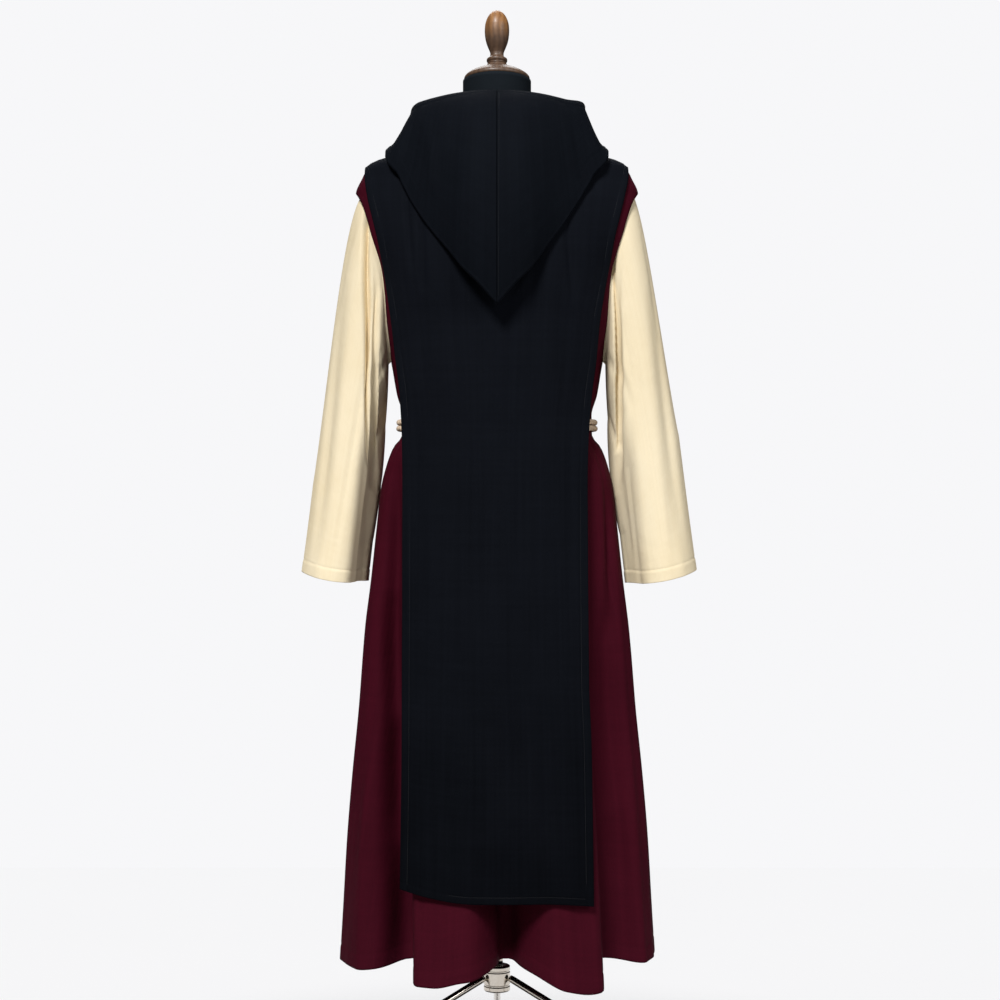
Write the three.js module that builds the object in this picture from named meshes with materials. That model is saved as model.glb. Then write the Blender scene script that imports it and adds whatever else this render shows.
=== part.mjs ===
// A monk's habit on a limbless dress form: tunic, sleeves, scapular, hood and rope belt over a
// padded torso with a turned neck cap and a tripod stand. Millimetres, +Z up, front towards -Y.
// The origin is on the floor under the middle of the whole part.
import * as THREE from 'three';

// Driving sizes
const cloth = 2; // wall of every cloth
const seam = 0.3; // between two pieces at a seam, or a piece and what carries it
// From the tunic's middle to the scapular's, which grows over so many millimetres above a height
const layer = { body: cloth + 0.9, shoulder: cloth + 3.3, from: 1500, over: 80 };
const hoodLayer = cloth + 5.4; // and from the scapular's to the hood's
const neckAxis = { x: 4, y: 69 }; // so that the whole part's middle is over the origin
const floorToHem = 165;
const waistHeight = 1150;
const beltBand = 18; // the tunic is straight so far above and below the waist
const necklineHeight = 1690;
const armholeTop = 1572;
const armholeBottom = 1262;
const armholeAngle = THREE.MathUtils.degToRad(17.5); // half of the armhole's spread round the body
const armholeRound = 0.95; // below 1 its oval is fuller towards both ends

// The tunic's outline: half width at the side, and how far its back and front stand from the middle.
const tunicRings = [
  { z: 165, side: 285, back: 222, front: 214, power: 2.2 },
  { z: 292, side: 277, back: 209, front: 202, power: 2.2 },
  { z: 411, side: 270, back: 198, front: 191, power: 2.2 },
  { z: 522, side: 261, back: 186, front: 180, power: 2.2 },
  { z: 636, side: 250, back: 174, front: 169, power: 2.2 },
  { z: 780, side: 239, back: 159, front: 156, power: 2.25 },
  { z: 871, side: 228, back: 150, front: 146, power: 2.3 },
  { z: 964, side: 218, back: 140, front: 136, power: 2.3 },
  { z: 1037, side: 210, back: 131, front: 126, power: 2.3 },
  { z: 1075, side: 201, back: 123, front: 118, power: 2.3 },
  { z: 1110, side: 188, back: 112, front: 107, power: 2.3 },
  { z: 1132, side: 172, back: 104, front: 98, power: 2.3 },
  { z: 1168, side: 171, back: 104, front: 98, power: 2.3 },
  { z: 1205, side: 181, back: 112, front: 109, power: 2.3 },
  { z: 1262, side: 191, back: 118, front: 118, power: 2.3 },
  { z: 1343, side: 213, back: 124, front: 127, power: 2.3 },
  { z: 1430, side: 230, back: 125, front: 129, power: 2.3 },
  { z: 1501, side: 253, back: 118, front: 121, power: 2.3 },
  { z: 1548, side: 257, back: 107, front: 109, power: 2.25 },
  { z: 1572, side: 256, back: 97, front: 101, power: 2.2 },
  { z: 1598, side: 245, back: 87, front: 90, power: 2.2 },
  { z: 1614, side: 236, back: 83, front: 84, power: 2.2 },
  { z: 1624, side: 220, back: 80, front: 81, power: 2.2 },
  { z: 1631, side: 197, back: 78.5, front: 79, power: 2.2 },
  { z: 1642, side: 168, back: 76.5, front: 76, power: 2.2 },
  { z: 1654, side: 146, back: 75, front: 74, power: 2.2 },
  { z: 1670, side: 117, back: 72, front: 70, power: 2.2 },
  { z: 1690, side: 84, back: 70, front: 68, power: 2.2 },
  { z: 1710, side: 60, back: 68, front: 66, power: 2.2 },
];
const shoulderRows = [1598, 1614, 1624, 1631, 1642, 1665]; // heights of the grid's rows over the shoulders

// The skirt's folds: valleys between the crests, by their angle round the body at waist and hem.
const skirtValleys = [
  { waist: 24, hem: 40.5, start: 1110, spread: 15, depth: 78 },
  { waist: 86, hem: 98, start: 1010, spread: 22, depth: 100 },
  { waist: 151, hem: 148.5, start: 1085, spread: 14, depth: 62 },
  { waist: 205, hem: 201, start: 1060, spread: 13, depth: 50 },
  { waist: 236, hem: 230, start: 1090, spread: 14, depth: 70 },
  { waist: 268, hem: 264, start: 1020, spread: 15, depth: 84 },
  { waist: 302, hem: 299, start: 1080, spread: 14, depth: 66 },
  { waist: 334, hem: 333, start: 1050, spread: 13, depth: 54 },
];
const valleyGrowth = 0.8; // below 1 a valley deepens faster at its top than at the hem
const valleyLift = 20; // how much higher the hem is at the bottom of a valley

// The hem's own height, by the angle round the body
const hemHeights = [
  { angle: -180, z: 200 }, { angle: -165, z: 192 }, { angle: -150, z: 184 }, { angle: -130, z: 170 },
  { angle: -110, z: 168 }, { angle: -92, z: 177 }, { angle: -72, z: 170 }, { angle: -52, z: 163 },
  { angle: -30, z: 182 }, { angle: 0, z: 192 }, { angle: 20, z: 188 }, { angle: 36, z: 182 },
  { angle: 50, z: 174 }, { angle: 62, z: 172 }, { angle: 74, z: 182 }, { angle: 86, z: 187 },
  { angle: 98, z: 184 }, { angle: 110, z: 182 }, { angle: 121, z: 165 }, { angle: 132, z: 157 },
  { angle: 141, z: 164 }, { angle: 151, z: 184 }, { angle: 165, z: 194 }, { angle: 180, z: 200 },
];

// The scapular below the shoulder blades: it hangs clear of the waist
const scapularRings = [
  { z: 300, side: 292, back: 213, front: 205, power: 2.3 },
  { z: 411, side: 283, back: 202, front: 195, power: 2.3 },
  { z: 636, side: 268, back: 179, front: 174, power: 2.35 },
  { z: 780, side: 256, back: 165, front: 161, power: 2.4 },
  { z: 871, side: 246, back: 156, front: 151, power: 2.4 },
  { z: 964, side: 236, back: 147, front: 143, power: 2.45 },
  { z: 1037, side: 228, back: 139, front: 137, power: 2.45 },
  { z: 1110, side: 220, back: 132, front: 134, power: 2.45 },
  { z: 1164, side: 216, back: 129, front: 133, power: 2.45 },
  { z: 1262, side: 216, back: 128, front: 132.5, power: 2.4 },
  { z: 1343, side: 222, back: 128, front: 132, power: 2.35 },
  { z: 1400, side: 228, back: 128, front: 132, power: 2.3 },
];
// Its two edges, by how far they are from the middle plane
const scapularWidths = [
  { z: 300, left: 170, right: 168 },
  { z: 411, left: 168.5, right: 167 },
  { z: 585, left: 167, right: 165 },
  { z: 700, left: 167, right: 161 },
  { z: 957, left: 167, right: 160 },
  { z: 1036, left: 167, right: 160 },
  { z: 1115, left: 168, right: 162 },
  { z: 1201, left: 172.5, right: 168.5 },
  { z: 1262, left: 180, right: 176.5 },
  { z: 1330, left: 188, right: 183 },
  { z: 1390, left: 196.5, right: 192 },
  { z: 1437, left: 204.5, right: 201.5 },
  { z: 1481, left: 213, right: 209.5 },
  { z: 1525, left: 224, right: 220.5 },
  { z: 1559, left: 232.5, right: 229 },
  { z: 1600, left: 238.5, right: 237 },
  { z: 1620, left: 239, right: 237.5 },
  { z: 1640, left: 260, right: 260 },
];
const scapularHem = 317;
const scapularCorner = { lift: 22, reach: 0.36, dip: 8, dipFrom: 0.7 }; // the hem's left corner lies higher
const scapularRelease = { from: 1360, to: 1440 }; // between these heights it leaves the tunic

// The hood, by the angle round the neck: where its fold lies and where its face edge stands.
const hoodSections = [
  { angle: -90, foldZ: 1654, faceR: 84, faceZ: 1672 },
  { angle: -65, foldZ: 1652, faceR: 96, faceZ: 1679 },
  { angle: -40, foldZ: 1647, faceR: 122, faceZ: 1688 },
  { angle: -15, foldZ: 1643, faceR: 145, faceZ: 1704 },
  { angle: 0, foldZ: 1637, faceR: 152, faceZ: 1715 },
  { angle: 9, foldZ: 1631, faceR: 155, faceZ: 1722 },
  { angle: 20, foldZ: 1605, faceR: 152, faceZ: 1727 },
  { angle: 29, foldZ: 1567, faceR: 143, faceZ: 1730 },
  { angle: 38.5, foldZ: 1528, faceR: 133, faceZ: 1733 },
  { angle: 47.5, foldZ: 1491, faceR: 124, faceZ: 1736 },
  { angle: 55, foldZ: 1464, faceR: 117, faceZ: 1738 },
  { angle: 65, foldZ: 1429, faceR: 109, faceZ: 1740 },
  { angle: 77, foldZ: 1398, faceR: 101, faceZ: 1742 },
  { angle: 85, foldZ: 1376, faceR: 98, faceZ: 1742.5 },
  { angle: 90, foldZ: 1363, faceR: 97, faceZ: 1742.5 },
];
const hoodFoldRadius = 5;
// Shares of the way along its cloth: where the fold begins and ends, and the rows in the fold
const hoodInner = 0.42;
const hoodTurned = 0.5;
const hoodTurns = [0.447, 0.473];
// The outer cloth's curve: its inner points, as shares of the rise and of the puff
const hoodCurve = { up: 0.33, side: 0.15, sidePuff: 0.5, back: 0.2, backPuff: 0.6, down: 0.12 };
const hoodPuff = { back: 46, side: 6, front: 7 }; // how far the outer cloth stands off

// Sleeves: a wide tube from the armhole to the cuff
const cuff = { halfDepth: 84, height: 877, sag: 7 };
const cuffWidths = {
  left: { middle: 294, half: 60, slant: 9 },
  right: { middle: 298, half: 64, slant: 12 },
};
// The curve's two inner points, from its ends: the under edge's and the top edge's
const sleeveLead = { under: -2, top: 44, side: 14, underDrop: 100, topDrop: 58 };
const sleeveTail = { under: 13, top: 37, underRise: 128, topRise: 250 };
const sleeveSlope = { x: 0.13, z: -0.99 }; // direction in which it leaves the armhole
const sleeveLeave = 5; // and how far it runs that way first
const sleeveShare = { tucked: 0.1, turned: 0.2 }; // where the tuck and the turn end, along the cloth
const sleeveMiddle = 245; // middle of the arm at the armhole, from the middle plane
const sleeveTuck = 8; // how far the sleeve's head lies inside the armhole
const sleeveTurn = { ends: 7.5, middle: 3.2 }; // radius of its turn round the armhole's edge
const sleeveCreases = [
  { from: 80, to: 168, start: 0.05, end: 0.62, spread: 20, depth: 13 },
  { from: 35, to: 60, start: 0.3, end: 0.98, spread: 22, depth: 8 },
  { from: 120, to: 128, start: 0.45, end: 1, spread: 20, depth: 9 },
  { from: 282, to: 200, start: 0.05, end: 0.6, spread: 22, depth: 12 },
  { from: 300, to: 290, start: 0.4, end: 1, spread: 24, depth: 9 },
];

// Belt
const ropeRadius = 5.2;
const ropeSpacing = 2 * ropeRadius + 0.5;
const ropeFacet = 1.1; // extra reach that keeps the rope's flat sides clear of the tunic's
const knotHalf = { x: 15, y: 8, z: 12 };
const knotSeat = 0.9; // between the knot's middle and the rope behind it, less the knot's half depth
const ropeEndLength = 34;

// Dress form, from the bottom to the shoulders; above that it follows the tunic's inside
const formRings = [
  { z: 852, side: 160, back: 96, front: 88, power: 2.2 },
  { z: 950, side: 172, back: 112, front: 98, power: 2.2 },
  { z: 1050, side: 162, back: 100, front: 96, power: 2.2 },
  { z: 1150, side: 152, back: 86, front: 90, power: 2.2 },
  { z: 1262, side: 165, back: 99, front: 106, power: 2.2 },
  { z: 1350, side: 177, back: 111, front: 118, power: 2.2 },
  { z: 1430, side: 188, back: 117, front: 121, power: 2.2 },
  { z: 1501, side: 205, back: 111, front: 113, power: 2.2 },
  { z: 1548, side: 214, back: 100, front: 101, power: 2.2 },
  { z: 1583, side: 216, back: 87, front: 90, power: 2.2 },
  { z: 1605, side: 214, back: 81, front: 83, power: 2.2 },
];
const formRest = 1.6; // the form's shoulders lie this far under the middle of the tunic's wall
const formInset = { depth: 3.6, side: 0.2, neck: 12 }; // and are narrower by this, most at the neckline
const formShoulders = [...shoulderRows.slice(1), necklineHeight];
const formShoulderHalf = 212; // they end inside the armholes
const neckRows = [1706, 1740]; // between the shoulders and the leaning top
const neckRadius = 62;
const neckTop = 1776;
const neckTilt = THREE.MathUtils.degToRad(7.3); // the neck's top leans to the front

// Neck cap and finial, by radius and height above the neck's top
const capProfile = [
  { r: 0, h: 0.3 }, { r: 58, h: 0.3 }, { r: 60, h: 2.5 }, { r: 60, h: 7 }, { r: 58, h: 9.5 },
  { r: 46, h: 15 }, { r: 32, h: 22 }, { r: 21, h: 28 }, { r: 18, h: 31 }, { r: 17, h: 33 },
  { r: 0, h: 33 },
];
const finialProfile = [
  { r: 0, h: 33.3 }, { r: 17, h: 33.3 }, { r: 18.6, h: 37 }, { r: 18.6, h: 41 }, { r: 15, h: 45 },
  { r: 12, h: 50 }, { r: 12.4, h: 54 }, { r: 16.5, h: 64 }, { r: 20.8, h: 78 }, { r: 22.4, h: 94 },
  { r: 21, h: 108 }, { r: 16.5, h: 120 }, { r: 9, h: 127.5 }, { r: 0, h: 130 },
];

// Stand
const poleRadius = 11;
const hub = { radius: 24, bottom: 122, top: 170 };
const legs = {
  count: 3, first: 30, radius: 6.5, reach: 340, topHeight: 148,
  hubGap: 2.9, // from the hub's wall to the middle of a leg's end
  seat: 0.9, // share of a leg's radius by which its lower end's middle is above the foot
  back: 6, // how far that middle is inside the foot's
};
const foot = { radius: 15, height: 10 };

const paints = {
  tunic: { color: 0x3f1119, roughness: 0.85, metalness: 0 },
  sleeve: { color: 0xece2c8, roughness: 0.85, metalness: 0 },
  scapular: { color: 0x0e1115, roughness: 0.8, metalness: 0 },
  hood: { color: 0x101318, roughness: 0.8, metalness: 0 },
  rope: { color: 0xdcc8b4, roughness: 0.75, metalness: 0 },
  formCloth: { color: 0x1c2125, roughness: 0.85, metalness: 0 },
  wood: { color: 0x876043, roughness: 0.4, metalness: 0 },
  chrome: { color: 0xc9c3ba, roughness: 0.2, metalness: 1 },
  rubber: { color: 0x1a1a1a, roughness: 0.7, metalness: 0 },
};

const radians = THREE.MathUtils.degToRad;
const mix = THREE.MathUtils.lerp;
const eased = (value) => THREE.MathUtils.smoothstep(value, 0, 1);

// Value of a table's column at a place along its key column, by a smooth curve that never overshoots
function read(table, key, at, column) {
  const last = table.length - 1;
  const clamped = Math.min(Math.max(at, table[0][key]), table[last][key]);
  let i = 0;
  while (i < last - 1 && table[i + 1][key] < clamped) i++;
  const chord = (k) => (table[k + 1][column] - table[k][column]) / (table[k + 1][key] - table[k][key]);
  const slope = (k) => {
    if (k === 0) return chord(0);
    if (k === last) return chord(last - 1);
    const product = chord(k - 1) * chord(k);
    return product <= 0 ? 0 : (2 * product) / (chord(k - 1) + chord(k));
  };
  const span = table[i + 1][key] - table[i][key];
  const t = (clamped - table[i][key]) / span;
  const bend = t * t * (3 - 2 * t);
  const start = t * (1 - t) * (1 - t) * slope(i);
  const end = t * t * (t - 1) * slope(i + 1);
  return mix(table[i][column], table[i + 1][column], bend) + span * (start + end);
}

function ringAt(table, z) {
  const back = read(table, 'z', z, 'back');
  const front = read(table, 'z', z, 'front');
  return {
    z,
    side: read(table, 'z', z, 'side'),
    depth: (back + front) / 2,
    middle: (back - front) / 2,
    power: read(table, 'z', z, 'power'),
  };
}

// A ring is a rounded oval: the power says how square its corners are
function ringPoint(ring, angle, inset = 0) {
  const across = (Math.abs(Math.cos(angle)) / ring.side) ** ring.power;
  const through = (Math.abs(Math.sin(angle)) / ring.depth) ** ring.power;
  const radius = (across + through) ** (-1 / ring.power) - inset;
  return new THREE.Vector3(radius * Math.cos(angle), ring.middle + radius * Math.sin(angle), ring.z);
}

function outward(surface, p, q) {
  const step = 1e-3;
  const along = surface(p + step, q).sub(surface(p - step, q));
  const up = surface(p, q + step).sub(surface(p, q - step));
  return along.cross(up).normalize();
}

// One closed body from layers of points: quads between neighbours, turned to face outwards
function closedMesh(name, points, faces, paint) {
  let volume = 0;
  for (const [a, b, c] of faces) {
    volume += points[a].dot(new THREE.Vector3().crossVectors(points[b], points[c]));
  }
  const turned = volume < 0 ? faces.map(([a, b, c]) => [a, c, b]) : faces;
  const geometry = new THREE.BufferGeometry();
  const places = points.flatMap((point) => point.toArray());
  geometry.setAttribute('position', new THREE.Float32BufferAttribute(places, 3));
  geometry.setIndex(turned.flat());
  geometry.computeVertexNormals();
  const mesh = new THREE.Mesh(geometry, new THREE.MeshStandardMaterial(paint));
  mesh.name = name;
  return mesh;
}

const quad = (a, b, c, d) => [[a, b, c], [a, c, d]];

// A cloth's wall: the grid holds rows of [p, q] on the surface, a tube closes along each row, and
// settle may move the points of a column onto a seam
function clothWall(name, surface, grid, paint, tube = false, settle = (point) => point) {
  const rows = grid.length;
  const columns = grid[0].length;
  const points = [];
  for (const shift of [cloth / 2, -cloth / 2]) {
    for (const row of grid) {
      row.forEach(([p, q], i) => {
        points.push(settle(surface(p, q).addScaledVector(outward(surface, p, q), shift), i));
      });
    }
  }
  const at = (side, j, i) => (side * rows + j) * columns + (i % columns);
  const faces = [];
  for (let j = 0; j < rows - 1; j++) {
    for (let i = 0; i < (tube ? columns : columns - 1); i++) {
      faces.push(...quad(at(0, j, i), at(0, j, i + 1), at(0, j + 1, i + 1), at(0, j + 1, i)));
      faces.push(...quad(at(1, j, i), at(1, j + 1, i), at(1, j + 1, i + 1), at(1, j, i + 1)));
    }
  }
  for (let i = 0; i < (tube ? columns : columns - 1); i++) {
    faces.push(...quad(at(0, 0, i), at(1, 0, i), at(1, 0, i + 1), at(0, 0, i + 1)));
    const top = rows - 1;
    faces.push(...quad(at(0, top, i), at(0, top, i + 1), at(1, top, i + 1), at(1, top, i)));
  }
  for (let j = 0; !tube && j < rows - 1; j++) {
    const end = columns - 1;
    faces.push(...quad(at(0, j, 0), at(0, j + 1, 0), at(1, j + 1, 0), at(1, j, 0)));
    faces.push(...quad(at(0, j, end), at(1, j, end), at(1, j + 1, end), at(0, j + 1, end)));
  }
  return closedMesh(name, points, faces, paint);
}

// A solid through closed rows of points, capped flat at both ends
function loft(name, rows, paint) {
  const columns = rows[0].length;
  const points = rows.flat();
  const faces = [];
  for (let j = 0; j < rows.length - 1; j++) {
    for (let i = 0; i < columns; i++) {
      const next = (i + 1) % columns;
      const low = j * columns;
      faces.push(...quad(low + i, low + next, low + columns + next, low + columns + i));
    }
  }
  const top = (rows.length - 1) * columns;
  for (let i = 1; i < columns - 1; i++) {
    faces.push([0, i + 1, i]);
    faces.push([top, top + i, top + i + 1]);
  }
  return closedMesh(name, points, faces, paint);
}

const steps = (from, to, count) => Array.from({ length: count + 1 }, (_, i) => mix(from, to, i / count));

// Steps that lie closer together towards both ends, or in the middle if the crowding is negative
function crowded(from, to, count, crowding) {
  const shift = (u) => (crowding * Math.sin(2 * Math.PI * u)) / (2 * Math.PI);
  return steps(0, 1, count).map((u) => mix(from, to, u - shift(u)));
}

// Tunic
function valleyShare(angle, height) {
  const fall = (start) => (start - height) / (start - floorToHem);
  let inset = 0;
  let share = 0;
  for (const valley of skirtValleys) {
    const drop = Math.max(0, fall(valley.start));
    const middle = radians(mix(valley.waist, valley.hem, Math.min(1, drop)));
    const turn = Math.atan2(Math.sin(angle - middle), Math.cos(angle - middle));
    const across = Math.abs(turn) / radians(valley.spread);
    if (across >= 1 || drop === 0) continue;
    const shape = Math.cos((across * Math.PI) / 2) ** 2;
    inset += valley.depth * drop ** valleyGrowth * shape;
    share += shape;
  }
  return { inset, share: Math.min(1, share) };
}

function tunicSurface(angle, z) {
  return ringPoint(ringAt(tunicRings, z), angle, valleyShare(angle, z).inset);
}

function hemZ(angle) {
  const degrees = THREE.MathUtils.radToDeg(Math.atan2(Math.sin(angle), Math.cos(angle)));
  return read(hemHeights, 'angle', degrees, 'z') + valleyLift * valleyShare(angle, floorToHem).share;
}

function armholeEdge(z) {
  const middle = (armholeTop + armholeBottom) / 2;
  const height = Math.min(1, Math.abs(z - middle) / (armholeTop - middle));
  return armholeAngle * Math.sqrt(1 - height * height) ** armholeRound;
}

const armholeRows = steps(Math.PI, 0, 9).map((turn) => (
  mix(armholeBottom, armholeTop, (1 + Math.cos(turn)) / 2)
));

function tunicPanel(name, side) {
  const skirt = steps(0, 1, 8).map((share) => 1 - (1 - share) ** 1.4);
  const upper = [waistHeight + beltBand, 1215, ...armholeRows, ...shoulderRows, necklineHeight];
  const columns = crowded(0, 1, 26, 0.3);
  const edges = (z) => {
    const inside = z > armholeBottom && z < armholeTop ? armholeEdge(z) : 0;
    const gap = Math.asin(seam / 2 / ringAt(tunicRings, z).side);
    return Math.max(inside, gap);
  };
  const grid = [];
  for (const share of skirt) {
    grid.push(columns.map((u) => {
      const edge = edges(waistHeight);
      const angle = side * mix(edge, Math.PI - edge, u);
      return [angle, mix(hemZ(angle), waistHeight - beltBand, share)];
    }));
  }
  for (const z of upper) {
    grid.push(columns.map((u) => [side * mix(edges(z), Math.PI - edges(z), u), z]));
  }
  return clothWall(name, tunicSurface, grid, paints.tunic);
}

// Scapular: on the tunic's shoulders, then hanging free
function scapularSurface(angle, z) {
  const normal = outward(tunicSurface, angle, z);
  const apart = mix(layer.body, layer.shoulder, eased((z - layer.from) / layer.over));
  const worn = tunicSurface(angle, z).addScaledVector(normal, apart);
  const share = eased((z - scapularRelease.from) / (scapularRelease.to - scapularRelease.from));
  return ringPoint(ringAt(scapularRings, z), angle).lerp(worn, share);
}

// Angle round the body where a surface is so far from the middle plane
function edgeAngle(surface, z, half, side) {
  let low = 0;
  let high = Math.PI / 2;
  for (let i = 0; i < 40; i++) {
    const middle = (low + high) / 2;
    if (surface(side * middle, z).x > half) low = middle;
    else high = middle;
  }
  return low;
}

// How much higher a place on the scapular's hem lies, by its share of the width from the left edge
function cornerLift(u) {
  const { lift, reach, dip, dipFrom } = scapularCorner;
  return lift * Math.max(0, 1 - u / reach) ** 1.6 - dip * Math.max(0, (u - dipFrom) / (1 - dipFrom)) ** 2;
}

function scapularPanel(name, side) {
  const free = 1110; // above this height its rows are level
  const heights = [
    ...steps(scapularHem, free, 6), 1200, 1270, 1340, ...armholeRows.filter((z) => z > 1360),
    ...shoulderRows, necklineHeight - 1,
  ];
  const columns = crowded(0, 1, 20, 0.4);
  const grid = heights.map((z) => {
    const gap = Math.asin(seam / 2 / ringAt(tunicRings, z).side);
    const edge = (column) => (
      Math.max(edgeAngle(scapularSurface, z, read(scapularWidths, 'z', z, column), side), gap)
    );
    const drop = Math.max(0, (free - z) / (free - scapularHem));
    const [left, right] = [edge('left'), edge('right')];
    return columns.map((u) => [side * mix(left, Math.PI - right, u), z + cornerLift(u) * drop]);
  });
  return clothWall(name, scapularSurface, grid, paints.scapular);
}

// Hood: from the neck seam down to its fold, round it and back up to the face edge
function hoodSurface(angle, along) {
  const degrees = THREE.MathUtils.radToDeg(Math.asin(Math.sin(angle)));
  const foldZ = read(hoodSections, 'angle', degrees, 'foldZ');
  const inner = (z) => (
    scapularSurface(angle, z).addScaledVector(outward(scapularSurface, angle, z), hoodLayer)
  );
  if (along <= hoodInner) return inner(mix(necklineHeight, foldZ, along / hoodInner));
  const end = inner(foldZ);
  const away = outward(scapularSurface, angle, foldZ);
  const onward = end.clone().sub(inner(foldZ + 2)).normalize();
  if (along < hoodTurned) {
    const turn = (Math.PI * (along - hoodInner)) / (hoodTurned - hoodInner);
    return end.addScaledVector(away, hoodFoldRadius * (1 - Math.cos(turn)))
      .addScaledVector(onward, hoodFoldRadius * Math.sin(turn));
  }
  const start = end.addScaledVector(away, 2 * hoodFoldRadius);
  const faceR = read(hoodSections, 'angle', degrees, 'faceR');
  const faceZ = read(hoodSections, 'angle', degrees, 'faceZ');
  const face = new THREE.Vector3(faceR * Math.cos(angle), faceR * Math.sin(angle), faceZ);
  const backward = Math.max(0, Math.sin(angle));
  const puff = Math.sin(angle) > 0
    ? mix(hoodPuff.side, hoodPuff.back, backward)
    : mix(hoodPuff.side, hoodPuff.front, -Math.sin(angle));
  const rise = start.distanceTo(face);
  const first = start.clone().addScaledVector(onward, -hoodCurve.up * rise).addScaledVector(away, puff);
  const second = face.clone();
  second.x += (hoodCurve.side * rise + hoodCurve.sidePuff * puff) * Math.cos(angle);
  second.y += (hoodCurve.back * rise + hoodCurve.backPuff * puff) * Math.sin(angle);
  second.z -= hoodCurve.down * rise;
  const t = (along - hoodTurned) / (1 - hoodTurned);
  return new THREE.CubicBezierCurve3(start, first, second, face).getPoint(Math.min(t, 1));
}

function hoodHalf(name, side) {
  const gap = seam / 2 / hoodSections.at(-1).faceR;
  const inner = steps(0, hoodInner, 8);
  const sections = [...inner, ...hoodTurns, ...steps(hoodTurned, 0.999, 6)];
  const count = 15;
  const angles = crowded(Math.PI / 2 - gap, -Math.PI / 2 + gap, count, -0.5);
  const grid = sections.map((along) => angles.map((angle) => [side > 0 ? angle : Math.PI - angle, along]));
  const onSeam = (point, i) => (i === 0 || i === count ? point.setX((side * seam) / 2) : point);
  return clothWall(name, hoodSurface, grid, paints.hood, false, onSeam);
}

// How deep a sleeve's crease is at a place: it starts and ends softly, or runs out at the cuff
function creaseDepth(crease, turn, t) {
  const share = (t - crease.start) / (crease.end - crease.start);
  if (share <= 0 || share >= 1.02) return 0;
  const centre = radians(mix(crease.from, crease.to, share));
  const away = Math.atan2(Math.sin(turn - centre), Math.cos(turn - centre));
  const across = Math.abs(away) / radians(crease.spread);
  if (across >= 1) return 0;
  const fade = crease.end >= 1 ? eased(share * 3) : Math.sin(Math.PI * Math.min(share, 1));
  return crease.depth * fade * Math.cos((across * Math.PI) / 2) ** 2;
}

// Sleeve: its head is tucked inside the armhole and turns round the armhole's edge
function sleeveSurface(side) {
  const drop = new THREE.Vector3(sleeveSlope.x, 0, sleeveSlope.z);
  const { middle: cuffMiddle, half: cuffHalf, slant } = side > 0 ? cuffWidths.left : cuffWidths.right;
  const { tucked, turned: turnEnd } = sleeveShare;
  return (turn, along) => {
    const top = (1 + Math.cos(turn)) / 2;
    const z = mix(armholeBottom, armholeTop, top);
    const angle = armholeAngle * Math.abs(Math.sin(turn)) ** armholeRound * Math.sign(Math.sin(turn));
    const edge = tunicSurface(angle, z);
    const normal = outward(tunicSurface, angle, z);
    const centre = ringPoint(ringAt(tunicRings, (armholeTop + armholeBottom) / 2), 0);
    const inward = centre.sub(edge);
    inward.addScaledVector(normal, -inward.dot(normal)).normalize();
    const leave = Math.atan2(drop.dot(normal), drop.dot(inward)) - Math.PI / 2;
    const wrapped = Math.max(-Math.PI / 2, Math.min(leave, Math.PI / 2));
    const radius = mix(sleeveTurn.ends, sleeveTurn.middle, Math.sin(turn) ** 2);
    const round = (bend) => edge.clone()
      .addScaledVector(inward, radius * Math.cos(bend))
      .addScaledVector(normal, radius * Math.sin(bend));
    let point;
    if (along < tucked) {
      point = round(-Math.PI / 2).addScaledVector(inward, -sleeveTuck * (1 - along / tucked));
    } else if (along < turnEnd) {
      const share = (along - tucked) / (turnEnd - tucked);
      point = round(mix(-Math.PI / 2, wrapped, share)).addScaledVector(drop, sleeveLeave * share);
    } else {
      const start = round(wrapped).addScaledVector(drop, sleeveLeave);
      const end = new THREE.Vector3(
        cuffMiddle + cuffHalf * Math.cos(turn),
        cuff.halfDepth * Math.sin(turn),
        cuff.height + slant * Math.cos(turn) - cuff.sag * Math.sin(turn) ** 2,
      );
      const first = start.clone();
      first.x += mix(sleeveLead.under, sleeveLead.top, top);
      first.y += sleeveLead.side * Math.sin(turn);
      first.z -= mix(sleeveLead.underDrop, sleeveLead.topDrop, top);
      const second = end.clone();
      second.x -= mix(sleeveTail.under, sleeveTail.top, top);
      second.z += mix(sleeveTail.underRise, sleeveTail.topRise, top);
      const t = (along - turnEnd) / (1 - turnEnd);
      point = new THREE.CubicBezierCurve3(start, first, second, end).getPoint(Math.min(t, 1));
      const middle = new THREE.Vector3(mix(sleeveMiddle, cuffMiddle, t), 0, point.z);
      const depth = sleeveCreases.reduce((sum, crease) => sum + creaseDepth(crease, turn, t), 0);
      point.addScaledVector(middle.sub(point).normalize(), depth);
    }
    return side > 0 ? point : point.setX(-point.x);
  };
}

function sleeve(name, side) {
  const { tucked, turned: turnEnd } = sleeveShare;
  const alongs = [0, ...steps(tucked, turnEnd, 3), ...steps(turnEnd, 0.999, 10).slice(1)];
  const turns = steps(0, 2 * Math.PI, 18).slice(0, -1);
  const grid = alongs.map((along) => turns.map((turn) => [turn + 1e-4, along]));
  return clothWall(name, sleeveSurface(side), grid, paints.sleeve, true);
}

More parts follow.
